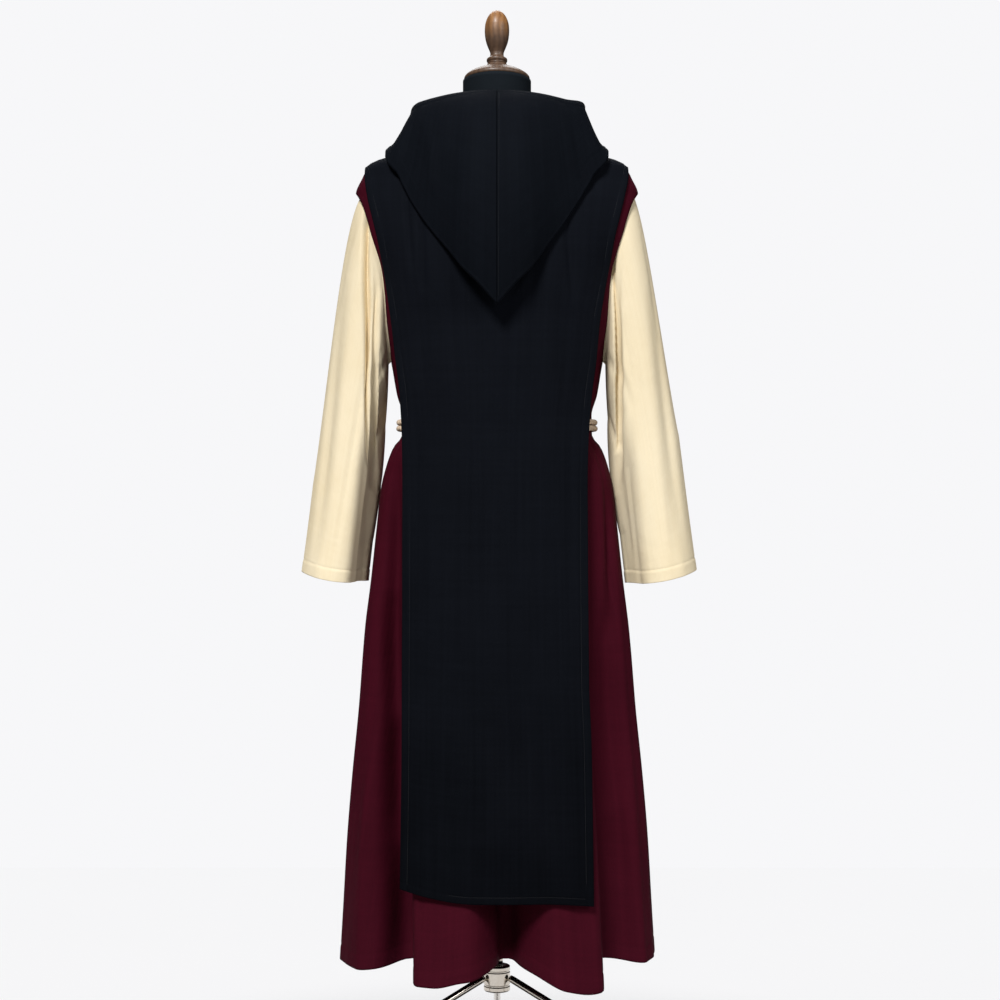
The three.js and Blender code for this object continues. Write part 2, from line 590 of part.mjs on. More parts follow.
// Belt: two turns of rope round the waist, knotted in front
function ropeTurn(name, height) {
  const around = 40;
  const sides = 6;
  const reach = cloth / 2 + seam + ropeRadius + ropeFacet;
  const points = [];
  const faces = [];
  for (let i = 0; i < around; i++) {
    const angle = (2 * Math.PI * i) / around;
    const normal = outward(tunicSurface, angle, height).setZ(0).normalize();
    const middle = tunicSurface(angle, height).addScaledVector(normal, reach);
    for (let k = 0; k < sides; k++) {
      const turn = (2 * Math.PI * k) / sides;
      const point = middle.clone().addScaledVector(normal, ropeRadius * Math.cos(turn));
      point.z += ropeRadius * Math.sin(turn);
      points.push(point);
    }
  }
  for (let i = 0; i < around; i++) {
    for (let k = 0; k < sides; k++) {
      const next = ((i + 1) % around) * sides;
      const turn = (k + 1) % sides;
      faces.push(...quad(i * sides + k, next + k, next + turn, i * sides + turn));
    }
  }
  return closedMesh(name, points, faces, paints.rope);
}

function place(name, geometry, paint, x, y, z) {
  const mesh = new THREE.Mesh(geometry, new THREE.MeshStandardMaterial(paint));
  mesh.name = name;
  mesh.position.set(x, y, z);
  return mesh;
}

function belt() {
  const group = new THREE.Group();
  group.add(ropeTurn('belt_turn_upper', waistHeight + ropeSpacing / 2));
  group.add(ropeTurn('belt_turn_lower', waistHeight - ropeSpacing / 2));
  const front = tunicSurface(-Math.PI / 2, waistHeight).y - cloth / 2 - knotSeat - 2 * ropeRadius;
  const ball = new THREE.SphereGeometry(1, 12, 8);
  const knot = place('belt_knot', ball, paints.rope, 0, front - knotHalf.y, waistHeight);
  knot.scale.set(knotHalf.x, knotHalf.y, knotHalf.z);
  group.add(knot);
  for (const [name, side] of [['belt_end_left', 1], ['belt_end_right', -1]]) {
    const rope = new THREE.CylinderGeometry(ropeRadius, ropeRadius, ropeEndLength, 8);
    rope.rotateX(Math.PI / 2);
    const below = waistHeight - knotHalf.z - seam - ropeEndLength / 2;
    group.add(place(name, rope, paints.rope, side * (ropeRadius + seam), front - knotHalf.y, below));
  }
  return group;
}

// Dress form: torso and neck in one, then the cap and finial on the leaning top
function formTorso() {
  const around = 24;
  const angles = steps(0, 2 * Math.PI, around).slice(0, -1);
  const rows = formRings.map((row) => angles.map((angle) => ringPoint(ringAt(formRings, row.z), angle)));
  for (const z of formShoulders) {
    const ring = ringAt(tunicRings, z + formRest);
    ring.z = z;
    ring.side = Math.min(ring.side, formShoulderHalf);
    ring.side -= z === necklineHeight ? formInset.neck : formInset.side;
    ring.depth -= formInset.depth;
    rows.push(angles.map((angle) => ringPoint(ring, angle)));
  }
  for (const z of [...neckRows, neckTop]) {
    const lean = z === neckTop ? Math.tan(neckTilt) : 0;
    rows.push(angles.map((angle) => {
      const y = neckRadius * Math.sin(angle);
      return new THREE.Vector3(neckRadius * Math.cos(angle), y, z + y * lean);
    }));
  }
  return loft('form_torso', rows, paints.formCloth);
}

function turned(name, profile) {
  const outline = profile.map(({ r, h }) => new THREE.Vector2(r, h));
  const geometry = new THREE.LatheGeometry(outline, 18);
  geometry.rotateX(Math.PI / 2);
  return place(name, geometry, paints.wood, 0, 0, 0);
}

function neckTopPieces() {
  const group = new THREE.Group();
  group.add(turned('neck_cap', capProfile), turned('finial', finialProfile));
  group.position.z = neckTop;
  group.rotation.x = neckTilt;
  return group;
}

function rod(name, from, to, radius, paint, sides = 14) {
  const length = from.distanceTo(to);
  const geometry = new THREE.CylinderGeometry(radius, radius, length, sides);
  const mesh = place(name, geometry, paint, 0, 0, 0);
  mesh.position.copy(from).lerp(to, 0.5);
  mesh.quaternion.setFromUnitVectors(new THREE.Vector3(0, 1, 0), to.clone().sub(from).normalize());
  return mesh;
}

function stand() {
  const group = new THREE.Group();
  const up = (z) => new THREE.Vector3(0, 0, z);
  group.add(rod('stand_pole', up(hub.top + seam), up(formRings[0].z - seam), poleRadius, paints.chrome));
  group.add(rod('stand_hub', up(hub.bottom), up(hub.top), hub.radius, paints.chrome, 20));
  for (let i = 0; i < legs.count; i++) {
    const angle = radians(legs.first + (i * 360) / legs.count);
    const out = new THREE.Vector3(Math.cos(angle), Math.sin(angle), 0);
    const low = foot.height + seam + legs.seat * legs.radius;
    const end = out.clone().multiplyScalar(legs.reach - legs.back).setZ(low);
    const start = out.clone().multiplyScalar(hub.radius + legs.hubGap).setZ(legs.topHeight);
    group.add(rod(`leg_${i + 1}`, start, end, legs.radius, paints.chrome));
    const base = out.clone().multiplyScalar(legs.reach);
    const top = base.clone().setZ(foot.height);
    group.add(rod(`foot_${i + 1}`, base, top, foot.radius, paints.rubber, 16));
  }
  return group;
}

const habit = new THREE.Group();
habit.add(tunicPanel('tunic_back', 1), tunicPanel('tunic_front', -1));
habit.add(sleeve('sleeve_left', 1), sleeve('sleeve_right', -1));
habit.add(scapularPanel('scapular_back', 1), scapularPanel('scapular_front', -1));
habit.add(hoodHalf('hood_left', 1), hoodHalf('hood_right', -1));
habit.add(belt(), formTorso(), neckTopPieces(), stand());
habit.position.set(neckAxis.x, neckAxis.y, 0);

export default habit;
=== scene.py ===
import math

import bmesh
import bpy
import numpy as np
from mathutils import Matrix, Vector


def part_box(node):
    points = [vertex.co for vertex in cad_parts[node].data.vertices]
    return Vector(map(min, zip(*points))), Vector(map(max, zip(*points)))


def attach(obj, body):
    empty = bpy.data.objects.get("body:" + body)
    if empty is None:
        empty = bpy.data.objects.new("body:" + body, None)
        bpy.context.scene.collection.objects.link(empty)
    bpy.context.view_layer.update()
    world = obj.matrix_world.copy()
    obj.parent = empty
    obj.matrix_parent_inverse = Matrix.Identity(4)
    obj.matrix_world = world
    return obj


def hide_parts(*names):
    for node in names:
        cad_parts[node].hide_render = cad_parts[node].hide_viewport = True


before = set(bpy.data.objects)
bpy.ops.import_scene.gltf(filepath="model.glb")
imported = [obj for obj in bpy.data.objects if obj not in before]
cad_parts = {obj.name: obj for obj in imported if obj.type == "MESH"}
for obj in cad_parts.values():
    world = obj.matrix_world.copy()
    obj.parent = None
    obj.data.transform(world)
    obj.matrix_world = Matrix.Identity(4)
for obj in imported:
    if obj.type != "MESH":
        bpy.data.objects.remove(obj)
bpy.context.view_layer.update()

# Monk's habit on a limbless dress form. Sizes are in millimetres until a mesh is made, and every
# shape is worked out round the neck's axis. The garment's front is towards -Y.

shared = {
    "axis": (4, 69, 0),
    "cloth": 1.7,  # wall of the cloth as shown
    "foldedCloth": 2.7,  # and where a hem is turned in
    "seam": 0.3,
    "floorToHem": 165,
    "waist": 1150,
    "beltBand": 18,
    "neckline": 1690,
    "neckTilt": math.radians(7.3),
    "neckTop": 1776,
}


def columns(names, *rows):
    # A table with named columns
    data = np.array(rows, float)
    return {name: data[:, i] for i, name in enumerate(names.split())}


def mix(a, b, share):
    return a + (b - a) * share


def eased(share):
    # Smooth step: 3 s^2 - 2 s^3 between 0 and 1
    s = np.clip(share, 0, 1)
    return s * s * (3 - 2 * s)


def bump(away, spread):
    # One soft hill: the square of a cosine, 1 in its middle and 0 past its spread
    return np.where(np.abs(away) < spread, np.cos(np.clip(away / spread, -1, 1) * math.pi / 2) ** 2, 0)


def turnTo(angle, middle):
    # Signed angle from middle to angle, between -pi and pi
    return np.arctan2(np.sin(angle - middle), np.cos(angle - middle))


def read(table, key, at, column):
    # A smooth curve through a table's column that never overshoots: cubic pieces whose slopes are
    # the harmonic means of the chords beside them
    x, y = table[key], table[column]
    chord = np.diff(y) / np.diff(x)
    product = chord[:-1] * chord[1:]
    total = chord[:-1] + chord[1:]
    safe = np.where(total == 0, 1, total)
    slope = np.concatenate([chord[:1], np.where(product <= 0, 0, 2 * product / safe), chord[-1:]])
    place = np.clip(at, x[0], x[-1])
    i = np.clip(np.searchsorted(x, place, side="right") - 1, 0, len(x) - 2)
    span = x[i + 1] - x[i]
    t = (place - x[i]) / span
    inner = mix(y[i], y[i + 1], t * t * (3 - 2 * t))
    return inner + span * (t * (1 - t) ** 2 * slope[i] + t * t * (t - 1) * slope[i + 1])


def stack(x, y, z):
    return np.stack(np.broadcast_arrays(x, y, z), axis=-1).astype(float)


def ringPoint(table, angle, z, inset=0):
    # A rounded oval at height z: radius = (|cos/side|^p + |sin/depth|^p)^(-1/p), less the inset
    back, front = read(table, "z", z, "back"), read(table, "z", z, "front")
    depth, middle = (back + front) / 2, (back - front) / 2
    power = read(table, "z", z, "power")
    side = read(table, "z", z, "side")
    across = (np.abs(np.cos(angle)) / side) ** power
    through = (np.abs(np.sin(angle)) / depth) ** power
    radius = (across + through) ** (-1 / power) - inset
    return stack(radius * np.cos(angle), middle + radius * np.sin(angle), z)


def unit(vectors):
    return vectors / np.maximum(np.linalg.norm(vectors, axis=-1, keepdims=True), 1e-9)


def outward(surface, p, q):
    # The surface's normal, from points a small step away on both sides
    step = 1e-3
    along = surface(p + step, q) - surface(p - step, q)
    up = surface(p, q + step) - surface(p, q - step)
    return unit(np.cross(along, up))


def crowded(count, crowding):
    # 0 to 1 in steps that lie closer together towards both ends
    u = np.linspace(0, 1, count + 1)
    return u - crowding * np.sin(2 * math.pi * u) / (2 * math.pi)


def along(*stretches):
    # One rising run of values from stretches of (from, to, steps)
    parts = [np.linspace(*stretch) for stretch in stretches]
    return np.concatenate([parts[0]] + [part[1:] for part in parts[1:]])


def creases(table, across, down, period=None):
    # Soft ridges, or troughs where the depth is negative. Each runs on a straight line between its
    # two ends, is a squared cosine across its width, and swells and dies away along its length
    total = np.zeros(np.broadcast(across, down).shape)
    for across0, down0, across1, down1, wide, depth in zip(*table.values()):
        share = np.clip((down - down0) / (down1 - down0), 0, 1)
        away = across - mix(across0, across1, share)
        if period:
            away = (away + period / 2) % period - period / 2
        total = total + depth * bump(away, wide) * np.sin(math.pi * share) ** 0.7
    return total


def gridNormals(points, closed=False):
    wide = np.roll(points, -1, 1) - np.roll(points, 1, 1) if closed else np.gradient(points, axis=1)
    return unit(np.cross(wide, np.gradient(points, axis=0)))


def pushed(points, amount, closed=False):
    # Every point moved along the cloth's own normal
    return points + gridNormals(points, closed) * amount[..., None]


def fromEdge(points, edge):
    # How far each point is from one edge, along the cloth
    steps = np.linalg.norm(np.diff(points, axis=1 if edge in ("left", "right") else 0), axis=-1)
    if edge in ("left", "right"):
        run = np.pad(np.cumsum(steps, axis=1), ((0, 0), (1, 0)))
        return run if edge == "left" else run[:, -1:] - run
    run = np.pad(np.cumsum(steps, axis=0), ((1, 0), (0, 0)))
    return run if edge == "bottom" else run[-1:] - run


def insetLine(points, edge, distance, closed=False):
    # The line on the cloth's outer face that keeps the distance from an edge, with its normals
    grid = np.concatenate([points, gridNormals(points, closed)], axis=-1)
    run = fromEdge(points, edge)
    if edge in ("bottom", "top"):
        grid, run = grid.swapaxes(0, 1), run.T
    if edge in ("right", "top"):
        grid, run = grid[:, ::-1], run[:, ::-1]
    after = np.argmax(run >= distance, axis=1)
    row = np.arange(len(grid))
    share = (distance - run[row, after - 1]) / (run[row, after] - run[row, after - 1])
    line = mix(grid[row, after - 1], grid[row, after], share[:, None])
    if closed:
        line = np.concatenate([line, line[:1]])
    normal = unit(line[:, 3:])
    return line[:, :3] + normal * shared["cloth"] / 2, normal


def makeMesh(name, points, quads, flat=None):
    # Points in millimetres and quads become a smooth mesh; flat holds a UV place for each corner
    vertices = (points.reshape(-1, 3) + shared["axis"]) / 1000
    mesh = bpy.data.meshes.new(name)
    mesh.vertices.add(len(vertices))
    mesh.vertices.foreach_set("co", vertices.ravel())
    mesh.loops.add(quads.size)
    mesh.loops.foreach_set("vertex_index", quads.ravel().astype(np.int32))
    mesh.polygons.add(len(quads))
    mesh.polygons.foreach_set("loop_start", np.arange(0, quads.size, 4, dtype=np.int32))
    mesh.polygons.foreach_set("use_smooth", np.ones(len(quads), bool))
    if flat is not None:
        mesh.uv_layers.new(name="cloth").data.foreach_set("uv", flat.astype(np.float32).ravel())
    mesh.update(calc_edges=True)
    obj = bpy.data.objects.new(name, mesh)
    bpy.context.collection.objects.link(obj)
    return obj


def spread(points, closed, looped):
    # Lengths along the grid in metres, from its rows and columns, as the cloth's own UV map
    if closed:
        points = np.concatenate([points, points[:, :1]], axis=1)
    if looped:
        points = np.concatenate([points, points[:1]])
    wide = np.linalg.norm(np.diff(points, axis=1), axis=-1).mean(axis=0)
    tall = np.linalg.norm(np.diff(points, axis=0), axis=-1).mean(axis=1)
    u = np.concatenate([[0], np.cumsum(wide)]) / 1000
    v = np.concatenate([[0], np.cumsum(tall)]) / 1000
    return stack(u[None, :], v[:, None], 0)[..., :2]


def gridMesh(name, points, closed=False, looped=False):
    # A grid of points becomes quads; closed joins each row's end to its start, looped the last row
    # to the first. Their normals are column direction x row direction
    rows, count = points.shape[:2]
    j, i = np.meshgrid(np.arange(rows if looped else rows - 1),
                       np.arange(count if closed else count - 1), indexing="ij")
    down, right = (j + 1) % rows, (i + 1) % count
    quads = np.stack([j * count + i, j * count + right, down * count + right, down * count + i], -1)
    uv = spread(points, closed, looped)
    flat = uv[np.stack([j, j, j + 1, j + 1], -1), np.stack([i, i + 1, i + 1, i], -1)]
    return makeMesh(name, points, quads.reshape(-1, 4), flat)


def settled(obj, paint, slot, *nodes):
    # The piece's finish, its body and the model's nodes that it stands for
    obj.data.materials.append(paint)
    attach(obj, "root")
    if nodes:
        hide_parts(*nodes)
    return obj


def clothPiece(name, points, paint, slot, node, closed=False, folded=None):
    # A sheet whose wall grows to both sides, thicker where folded says that its hem is turned in
    obj = settled(gridMesh(name, points, closed), paint, slot, node)
    wall = obj.modifiers.new("wall", "SOLIDIFY")
    wall.offset = 0
    wall.thickness = shared["foldedCloth"] / 1000
    wall.vertex_group = obj.vertex_groups.new(name="folded").name
    wall.thickness_vertex_group = shared["cloth"] / shared["foldedCloth"]
    if folded is not None:
        obj.vertex_groups["folded"].add(np.flatnonzero(folded).tolist(), 1, "REPLACE")
    return obj


def welded(obj):
    # Merges the points that meet at a pole, and turns the faces outwards
    shape = bmesh.new()
    shape.from_mesh(obj.data)
    bmesh.ops.remove_doubles(shape, verts=shape.verts, dist=1e-6)
    bmesh.ops.recalc_face_normals(shape, faces=shape.faces)
    shape.to_mesh(obj.data)
    shape.free()
    return obj


def tube(path, side, radius, sides, closed=False):
    # Circles square to a path, begun from the given side direction; radius may change along it
    step = np.roll(path, -1, 0) - np.roll(path, 1, 0) if closed else np.gradient(path, axis=0)
    ahead = unit(step)
    across = unit(side - ahead * np.sum(side * ahead, -1, keepdims=True))
    other = np.cross(ahead, across)
    turn = np.linspace(0, math.tau, sides + 1)[:-1, None]
    ring = across[:, None] * np.cos(turn) + other[:, None] * np.sin(turn)
    return path[:, None] + ring * np.broadcast_to(radius, len(path))[:, None, None]


def profileCurve(table, first, second, count):
    # A smooth line through the table's rows, by the distance along it
    x, y = table[first], table[second]
    run = np.concatenate([[0], np.cumsum(np.hypot(np.diff(x), np.diff(y)))])
    line = {"run": run, "x": x, "y": y}
    at = np.linspace(0, run[-1], count)
    return read(line, "run", at, "x"), read(line, "run", at, "y")


def turning(name, profile, sides, start, axis, paint, slot, node, count=60):
    # A turned piece: its profile of radius and height goes round an axis that begins at start
    radius, height = profileCurve(profile, "r", "h", count)
    axis = unit(np.array(axis, float))
    across = unit(np.cross((0, 1, 0), axis))
    other = np.cross(axis, across)
    turn = np.linspace(0, math.tau, sides + 1)[:-1, None]
    ring = across * np.cos(turn) + other * np.sin(turn)
    points = np.array(start) + height[:, None, None] * axis + radius[:, None, None] * ring
    return settled(welded(gridMesh(name, points, True)), paint, slot, node)


thread = {
    "length": 2.9, "gap": 0.9, "radius": 0.3,
    "shape": columns("share size lift", (0, 0.5, -0.9), (0.25, 1, 0.3), (0.75, 1, 0.3), (1, 0.5, -0.9)),
}


def stitching(name, lines, paint, slot):
    # Rows of single stitches: each is a short four sided thread whose ends dive into the cloth
    shape, radius = thread["shape"], thread["radius"]
    blocks = []
    for line, normal in lines:
        run = np.concatenate([[0], np.cumsum(np.linalg.norm(np.diff(line, axis=0), axis=-1))])
        count = int(run[-1] // (thread["length"] + thread["gap"]))
        begin = np.arange(count) * run[-1] / count
        place = begin[:, None] + thread["length"] * shape["share"]
        centre = np.stack([np.interp(place, run, line[:, k]) for k in range(3)], -1)
        up = unit(np.stack([np.interp(place, run, normal[:, k]) for k in range(3)], -1))
        centre = centre + up * (shape["lift"] * radius)[:, None]
        across = unit(np.cross(up, unit(centre[:, -1:] - centre[:, :1])))
        corner = np.linspace(0, math.tau, 5)[:-1, None]
        ring = across[:, :, None] * np.cos(corner) + up[:, :, None] * np.sin(corner)
        blocks.append(centre[:, :, None] + ring * (radius * shape["size"])[:, None, None])
    points = np.concatenate(blocks)
    rings = len(shape["share"])
    j, i = np.meshgrid(np.arange(rings - 1), np.arange(4), indexing="ij")
    right = (i + 1) % 4
    sides = np.stack([j * 4 + i, j * 4 + 4 + i, j * 4 + 4 + right, j * 4 + right], -1).reshape(-1, 4)
    ends = np.array([[0, 1, 2, 3], [4 * rings - 1, 4 * rings - 2, 4 * rings - 3, 4 * rings - 4]])
    one = np.concatenate([sides, ends])
    quads = (np.arange(len(points))[:, None, None] * 4 * rings + one).reshape(-1, 4)
    return settled(makeMesh(name, points, quads), paint, slot)


class Wire:
    # A node's output; sums, differences and products of wires add Math nodes
    def __init__(self, paint, socket):
        self.paint, self.socket = paint, socket

    def math(self, operation, other, flipped=False):
        first, second = (other, self) if flipped else (self, other)
        return self.paint.node("ShaderNodeMath", {"operation": operation}, {0: first, 1: second})

    def __add__(self, other):
        return self.math("ADD", other)

    def __radd__(self, other):
        return self.math("ADD", other, True)

    def __sub__(self, other):
        return self.math("SUBTRACT", other)

    def __rsub__(self, other):
        return self.math("SUBTRACT", other, True)

    def __mul__(self, other):
        return self.math("MULTIPLY", other)

    def __rmul__(self, other):
        return self.math("MULTIPLY", other, True)


class Paint:
    def __init__(self, name):
        self.material = bpy.data.materials.new(name)
        self.material.use_nodes = True
        self.tree = self.material.node_tree
        self.surface = self.tree.nodes["Principled BSDF"]

    def node(self, kind, settings=None, sockets=None, output=0):
        made = self.tree.nodes.new(kind)
        for key, value in (settings or {}).items():
            if key == "stops":
                while len(made.color_ramp.elements) < len(value):
                    made.color_ramp.elements.new(0.5)
                for element, (place, colour) in zip(made.color_ramp.elements, value):
                    element.position = place
                    element.color = colour
            else:
                setattr(made, key, value)
        for key, value in (sockets or {}).items():
            self.link(made.inputs[key], value)
        return Wire(self, made.outputs[output])

    def link(self, socket, value):
        if isinstance(value, Wire):
            self.tree.links.new(value.socket, socket)
        else:
            socket.default_value = value

    def coordinates(self, output="Object"):
        return self.node("ShaderNodeTexCoord", output=output)

    def noise(self, vector, scale, detail=3, roughness=0.5, distortion=0, stretch=None):
        if stretch is not None:
            vector = self.node("ShaderNodeMapping", {}, {"Vector": vector, "Scale": stretch})
        return self.node("ShaderNodeTexNoise", {}, {
            "Vector": vector, "Scale": scale, "Detail": detail, "Roughness": roughness,
            "Distortion": distortion,
        })

    def blend(self, share, first, second):
        return self.node("ShaderNodeMix", {"data_type": "RGBA"}, {0: share, 6: first, 7: second}, 2)

    def finish(self, **sockets):
        for key, value in sockets.items():
            self.link(self.surface.inputs[key.replace("_", " ")], value)
        return self.material


def srgb(red, green, blue, alpha=1):
    # A screen colour, 0 to 255, as linear light
    def linear(value):
        share = value / 255
        return share / 12.92 if share <= 0.04045 else ((share + 0.055) / 1.055) ** 2.4
    return (linear(red), linear(green), linear(blue), alpha)


weaves = {
    # threads is one thread's width in metres; the rest are shares. fade is painted shade that darkens the
    # cloth towards the bottom and lightens it towards the top
    "burgundyCloth": dict(light=srgb(78, 15, 32), dark=srgb(36, 3, 12), threads=0.0011, nap=0.34,
                          slubs=0.2, clouds=0.3, relief=0.3, gloss=0.04, fade=0.16),
    "creamCloth": dict(light=srgb(247, 236, 210), dark=srgb(220, 199, 156), threads=0.001, nap=0.24,
                       slubs=0.2, clouds=0.5, relief=0.22, gloss=0.08),
    "blackCloth": dict(light=srgb(21, 24, 31), dark=srgb(3, 4, 7), threads=0.0011, nap=0.36,
                       slubs=0.22, clouds=0.36, relief=0.3, gloss=0.03, fade=0.42),
    # this cloth has a painted shadow line down the hood's middle seam
    "blackHoodCloth": dict(light=srgb(21, 25, 32), dark=srgb(4, 5, 8), threads=0.0011, nap=0.36,
                           slubs=0.22, clouds=0.36, relief=0.3, gloss=0.03, seamShadeAt=0.004),
    "jerseyCover": dict(light=srgb(34, 40, 46), dark=srgb(14, 18, 22), threads=0.0008, nap=0.3,
                        slubs=0.1, clouds=0.2, relief=0.2, gloss=0.05),
}


def wovenCloth(name, light, dark, threads, nap, slubs, clouds, relief, gloss, fade=0.0, seamShadeAt=None):
    # Plain weave: two crossed sets of threads whose product makes the over and under, with the
    # yarns' uneven thickness, faint long streaks, a nap of fine fibres and soft handling marks
    paint = Paint(name)
    uv, place = paint.coordinates("UV"), paint.coordinates("Object")
    across, down = (paint.node("ShaderNodeSeparateXYZ", {}, {0: uv}, k) for k in (0, 1))
    warp = paint.node("ShaderNodeMath", {"operation": "SINE"}, {0: across * (math.tau / threads)})
    weft = paint.node("ShaderNodeMath", {"operation": "SINE"}, {0: down * (math.tau / threads)})
    weave = (warp * weft) * 0.5 + 0.5
    streakDown = paint.noise(uv, 1 / (threads * 7), 3, 0.6, 0, (1, 0.02, 1))
    streakAcross = paint.noise(uv, 1 / (threads * 7), 3, 0.6, 0, (0.03, 1, 1))
    yarn = streakDown * 0.62 + streakAcross * 0.38
    fibres = paint.noise(place, 1500, 3, 0.7)
    cloudy = paint.noise(place, 6, 4, 0.55)
    height = paint.node("ShaderNodeSeparateXYZ", {}, {0: place}, 2)
    tone = (yarn - 0.5) * (2 * slubs) + (fibres - 0.5) * nap + (cloudy - 0.5) * clouds + weave * 0.16
    # painted shade: fade makes the cloth darker below 1.3 m and lighter above it, as if less light reached
    # its lower part
    tone = tone + (height - 1.3) * fade + 0.42
    colour = paint.blend(paint.node("ShaderNodeClamp", {}, {0: tone}), dark, light)
    if seamShadeAt is not None:
        # the cloth sinks into its seam, and painted shade makes a near black line along it where the
        # groove's shadow falls
        aside = paint.node("ShaderNodeSeparateXYZ", {}, {0: place}, 0) - seamShadeAt
        aside = paint.node("ShaderNodeMath", {"operation": "ABSOLUTE"}, {0: aside})
        paintedSeamShade = paint.node("ShaderNodeClamp", {}, {0: 1.1 - aside * 1400})
        colour = paint.blend(paintedSeamShade, colour, (0.0006, 0.0006, 0.0008, 1))
    threadHeight = weave * 0.5 + yarn * 0.6 + fibres * 0.5
    fine = paint.node("ShaderNodeBump", {}, {
        "Strength": relief, "Distance": 0.0006, "Height": threadHeight})
    crumple = paint.noise(place, 22, 5, 0.6, 0.6)
    normal = paint.node("ShaderNodeBump", {}, {
        "Strength": 0.3, "Distance": 0.004, "Height": crumple, "Normal": fine})
    return paint.finish(Base_Color=colour, Roughness=0.8 + (fibres - 0.5) * 0.2, Normal=normal,
                        Specular_IOR_Level=gloss)


def sewingThread(name, light, dark):
    # Twisted polyester thread, a little glossier than the cloth under it
    paint = Paint(name)
    twist = paint.noise(paint.coordinates(), 2600, 2, 0.5)
    normal = paint.node("ShaderNodeBump", {}, {"Strength": 0.4, "Distance": 0.0002, "Height": twist})
    return paint.finish(Base_Color=paint.blend(twist, dark, light), Roughness=0.45 + twist * 0.2,
                        Normal=normal)


def ropeYarn():
    # Twisted cotton: fine slanting fibres along each strand
    paint = Paint("ropeYarn")
    uv = paint.coordinates("UV")
    across, down = (paint.node("ShaderNodeSeparateXYZ", {}, {0: uv}, k) for k in (0, 1))
    slant = paint.node("ShaderNodeMath", {"operation": "SINE"}, {0: across * 5200 + down * 3600})
    fibres = paint.noise(paint.coordinates(), 1500, 3, 0.6)
    tone = paint.node("ShaderNodeClamp", {}, {0: slant * 0.14 + fibres * 0.7 + 0.15})
    colour = paint.blend(tone, srgb(168, 138, 110), srgb(240, 222, 198))
    normal = paint.node("ShaderNodeBump", {}, {
        "Strength": 0.5, "Distance": 0.0006, "Height": slant * 0.4 + fibres * 0.6})
    return paint.finish(Base_Color=colour, Roughness=0.74 + fibres * 0.12, Normal=normal,
                        Sheen_Weight=0.1)


def turnedWood():
    # Long grain and growth rings of a varnished turning, warmer towards its top
    paint = Paint("turnedWood")
    place = paint.coordinates()
    grain = paint.noise(place, 120, 6, 0.6, 0.6, (1, 1, 0.08))
    rings = paint.node("ShaderNodeTexWave", {"wave_type": "BANDS", "bands_direction": "X"}, {
        "Vector": place, "Scale": 34, "Distortion": 5, "Detail": 3, "Detail Scale": 1.2}, "Fac")
    pores = paint.noise(place, 900, 2, 0.5, 0, (1, 1, 0.05))
    tone = paint.node("ShaderNodeClamp", {}, {0: grain * 0.6 + rings * 0.3 + pores * 0.2 - 0.05})
    dull = paint.blend(tone, srgb(62, 44, 33), srgb(112, 86, 66))
    golden = paint.blend(tone, srgb(104, 66, 34), srgb(176, 124, 70))
    height = paint.node("ShaderNodeSeparateXYZ", {}, {0: place}, 2)
    upper = paint.node("ShaderNodeClamp", {}, {0: (height - 1.855) * 30 + (grain - 0.5) * 0.8})
    normal = paint.node("ShaderNodeBump", {}, {
        "Strength": 0.15, "Distance": 0.0004, "Height": grain + pores * 0.5})
    return paint.finish(Base_Color=paint.blend(upper, dull, golden), Roughness=0.42 + grain * 0.14,
                        Normal=normal, Coat_Weight=0.12, Coat_Roughness=0.2)


def polishedMetal():
    # Warm bright plating with faint wiping marks
    paint = Paint("polishedMetal")
    marks = paint.noise(paint.coordinates(), 90, 4, 0.6, 0, (1, 1, 0.2))
    colour = paint.blend(marks, srgb(190, 178, 164), srgb(226, 220, 210))
    return paint.finish(Base_Color=colour, Metallic=1.0, Roughness=0.1 + marks * 0.12)


def footRubber():
    paint = Paint("footRubber")
    grain = paint.noise(paint.coordinates(), 900, 3, 0.6)
    normal = paint.node("ShaderNodeBump", {}, {"Strength": 0.2, "Distance": 0.0004, "Height": grain})
    colour = paint.blend(grain, srgb(20, 20, 21), srgb(40, 40, 41))
    return paint.finish(Base_Color=colour, Roughness=0.62 + grain * 0.2, Normal=normal)


paints = {
    "tunic": wovenCloth("burgundyCloth", **weaves["burgundyCloth"]),
    "sleeve": wovenCloth("creamCloth", **weaves["creamCloth"]),
    "scapular": wovenCloth("blackCloth", **weaves["blackCloth"]),
    "hood": wovenCloth("blackHoodCloth", **weaves["blackHoodCloth"]),
    "form": wovenCloth("jerseyCover", **weaves["jerseyCover"]),
    "creamThread": sewingThread("creamThread", srgb(246, 236, 212), srgb(206, 184, 144)),
    "blackThread": sewingThread("blackThread", srgb(15, 17, 21), srgb(5, 6, 8)),
    "rope": ropeYarn(),
    "wood": turnedWood(),
    "metal": polishedMetal(),
    "rubber": footRubber(),
}
print("materials made")

view = {
    "distance": 4000, "height": 1015, "sideways": -5.5, "lens": 79.12,
    "backdrop": (0.93, 0.93, 0.945, 1),  # what is seen behind the object
    "skylight": (0.06, 0.06, 0.062, 1),  # and what lights it
    # Each light by its turn from the camera, its height in degrees, its strength and its softness
    "lights": {"key": (20, 48, 3.75, 16), "fill": (-50, 30, 1.0, 30), "rim": (176, 46, 1.5, 40)},
    "floorLight": 2.86,
}
bpy.context.scene.view_settings.view_transform = "Standard"
camera = bpy.data.objects.new("camera", bpy.data.cameras.new("camera"))
bpy.context.collection.objects.link(camera)
camera.data.lens = view["lens"]
camera.data.sensor_width = 36
camera.data.clip_end = 1000
cameraPlace = Vector((view["sideways"], view["distance"], view["height"]))
camera.location = (cameraPlace + Vector(shared["axis"])) / 1000
camera.rotation_euler = (math.pi / 2, 0, math.pi)
bpy.context.scene.camera = camera


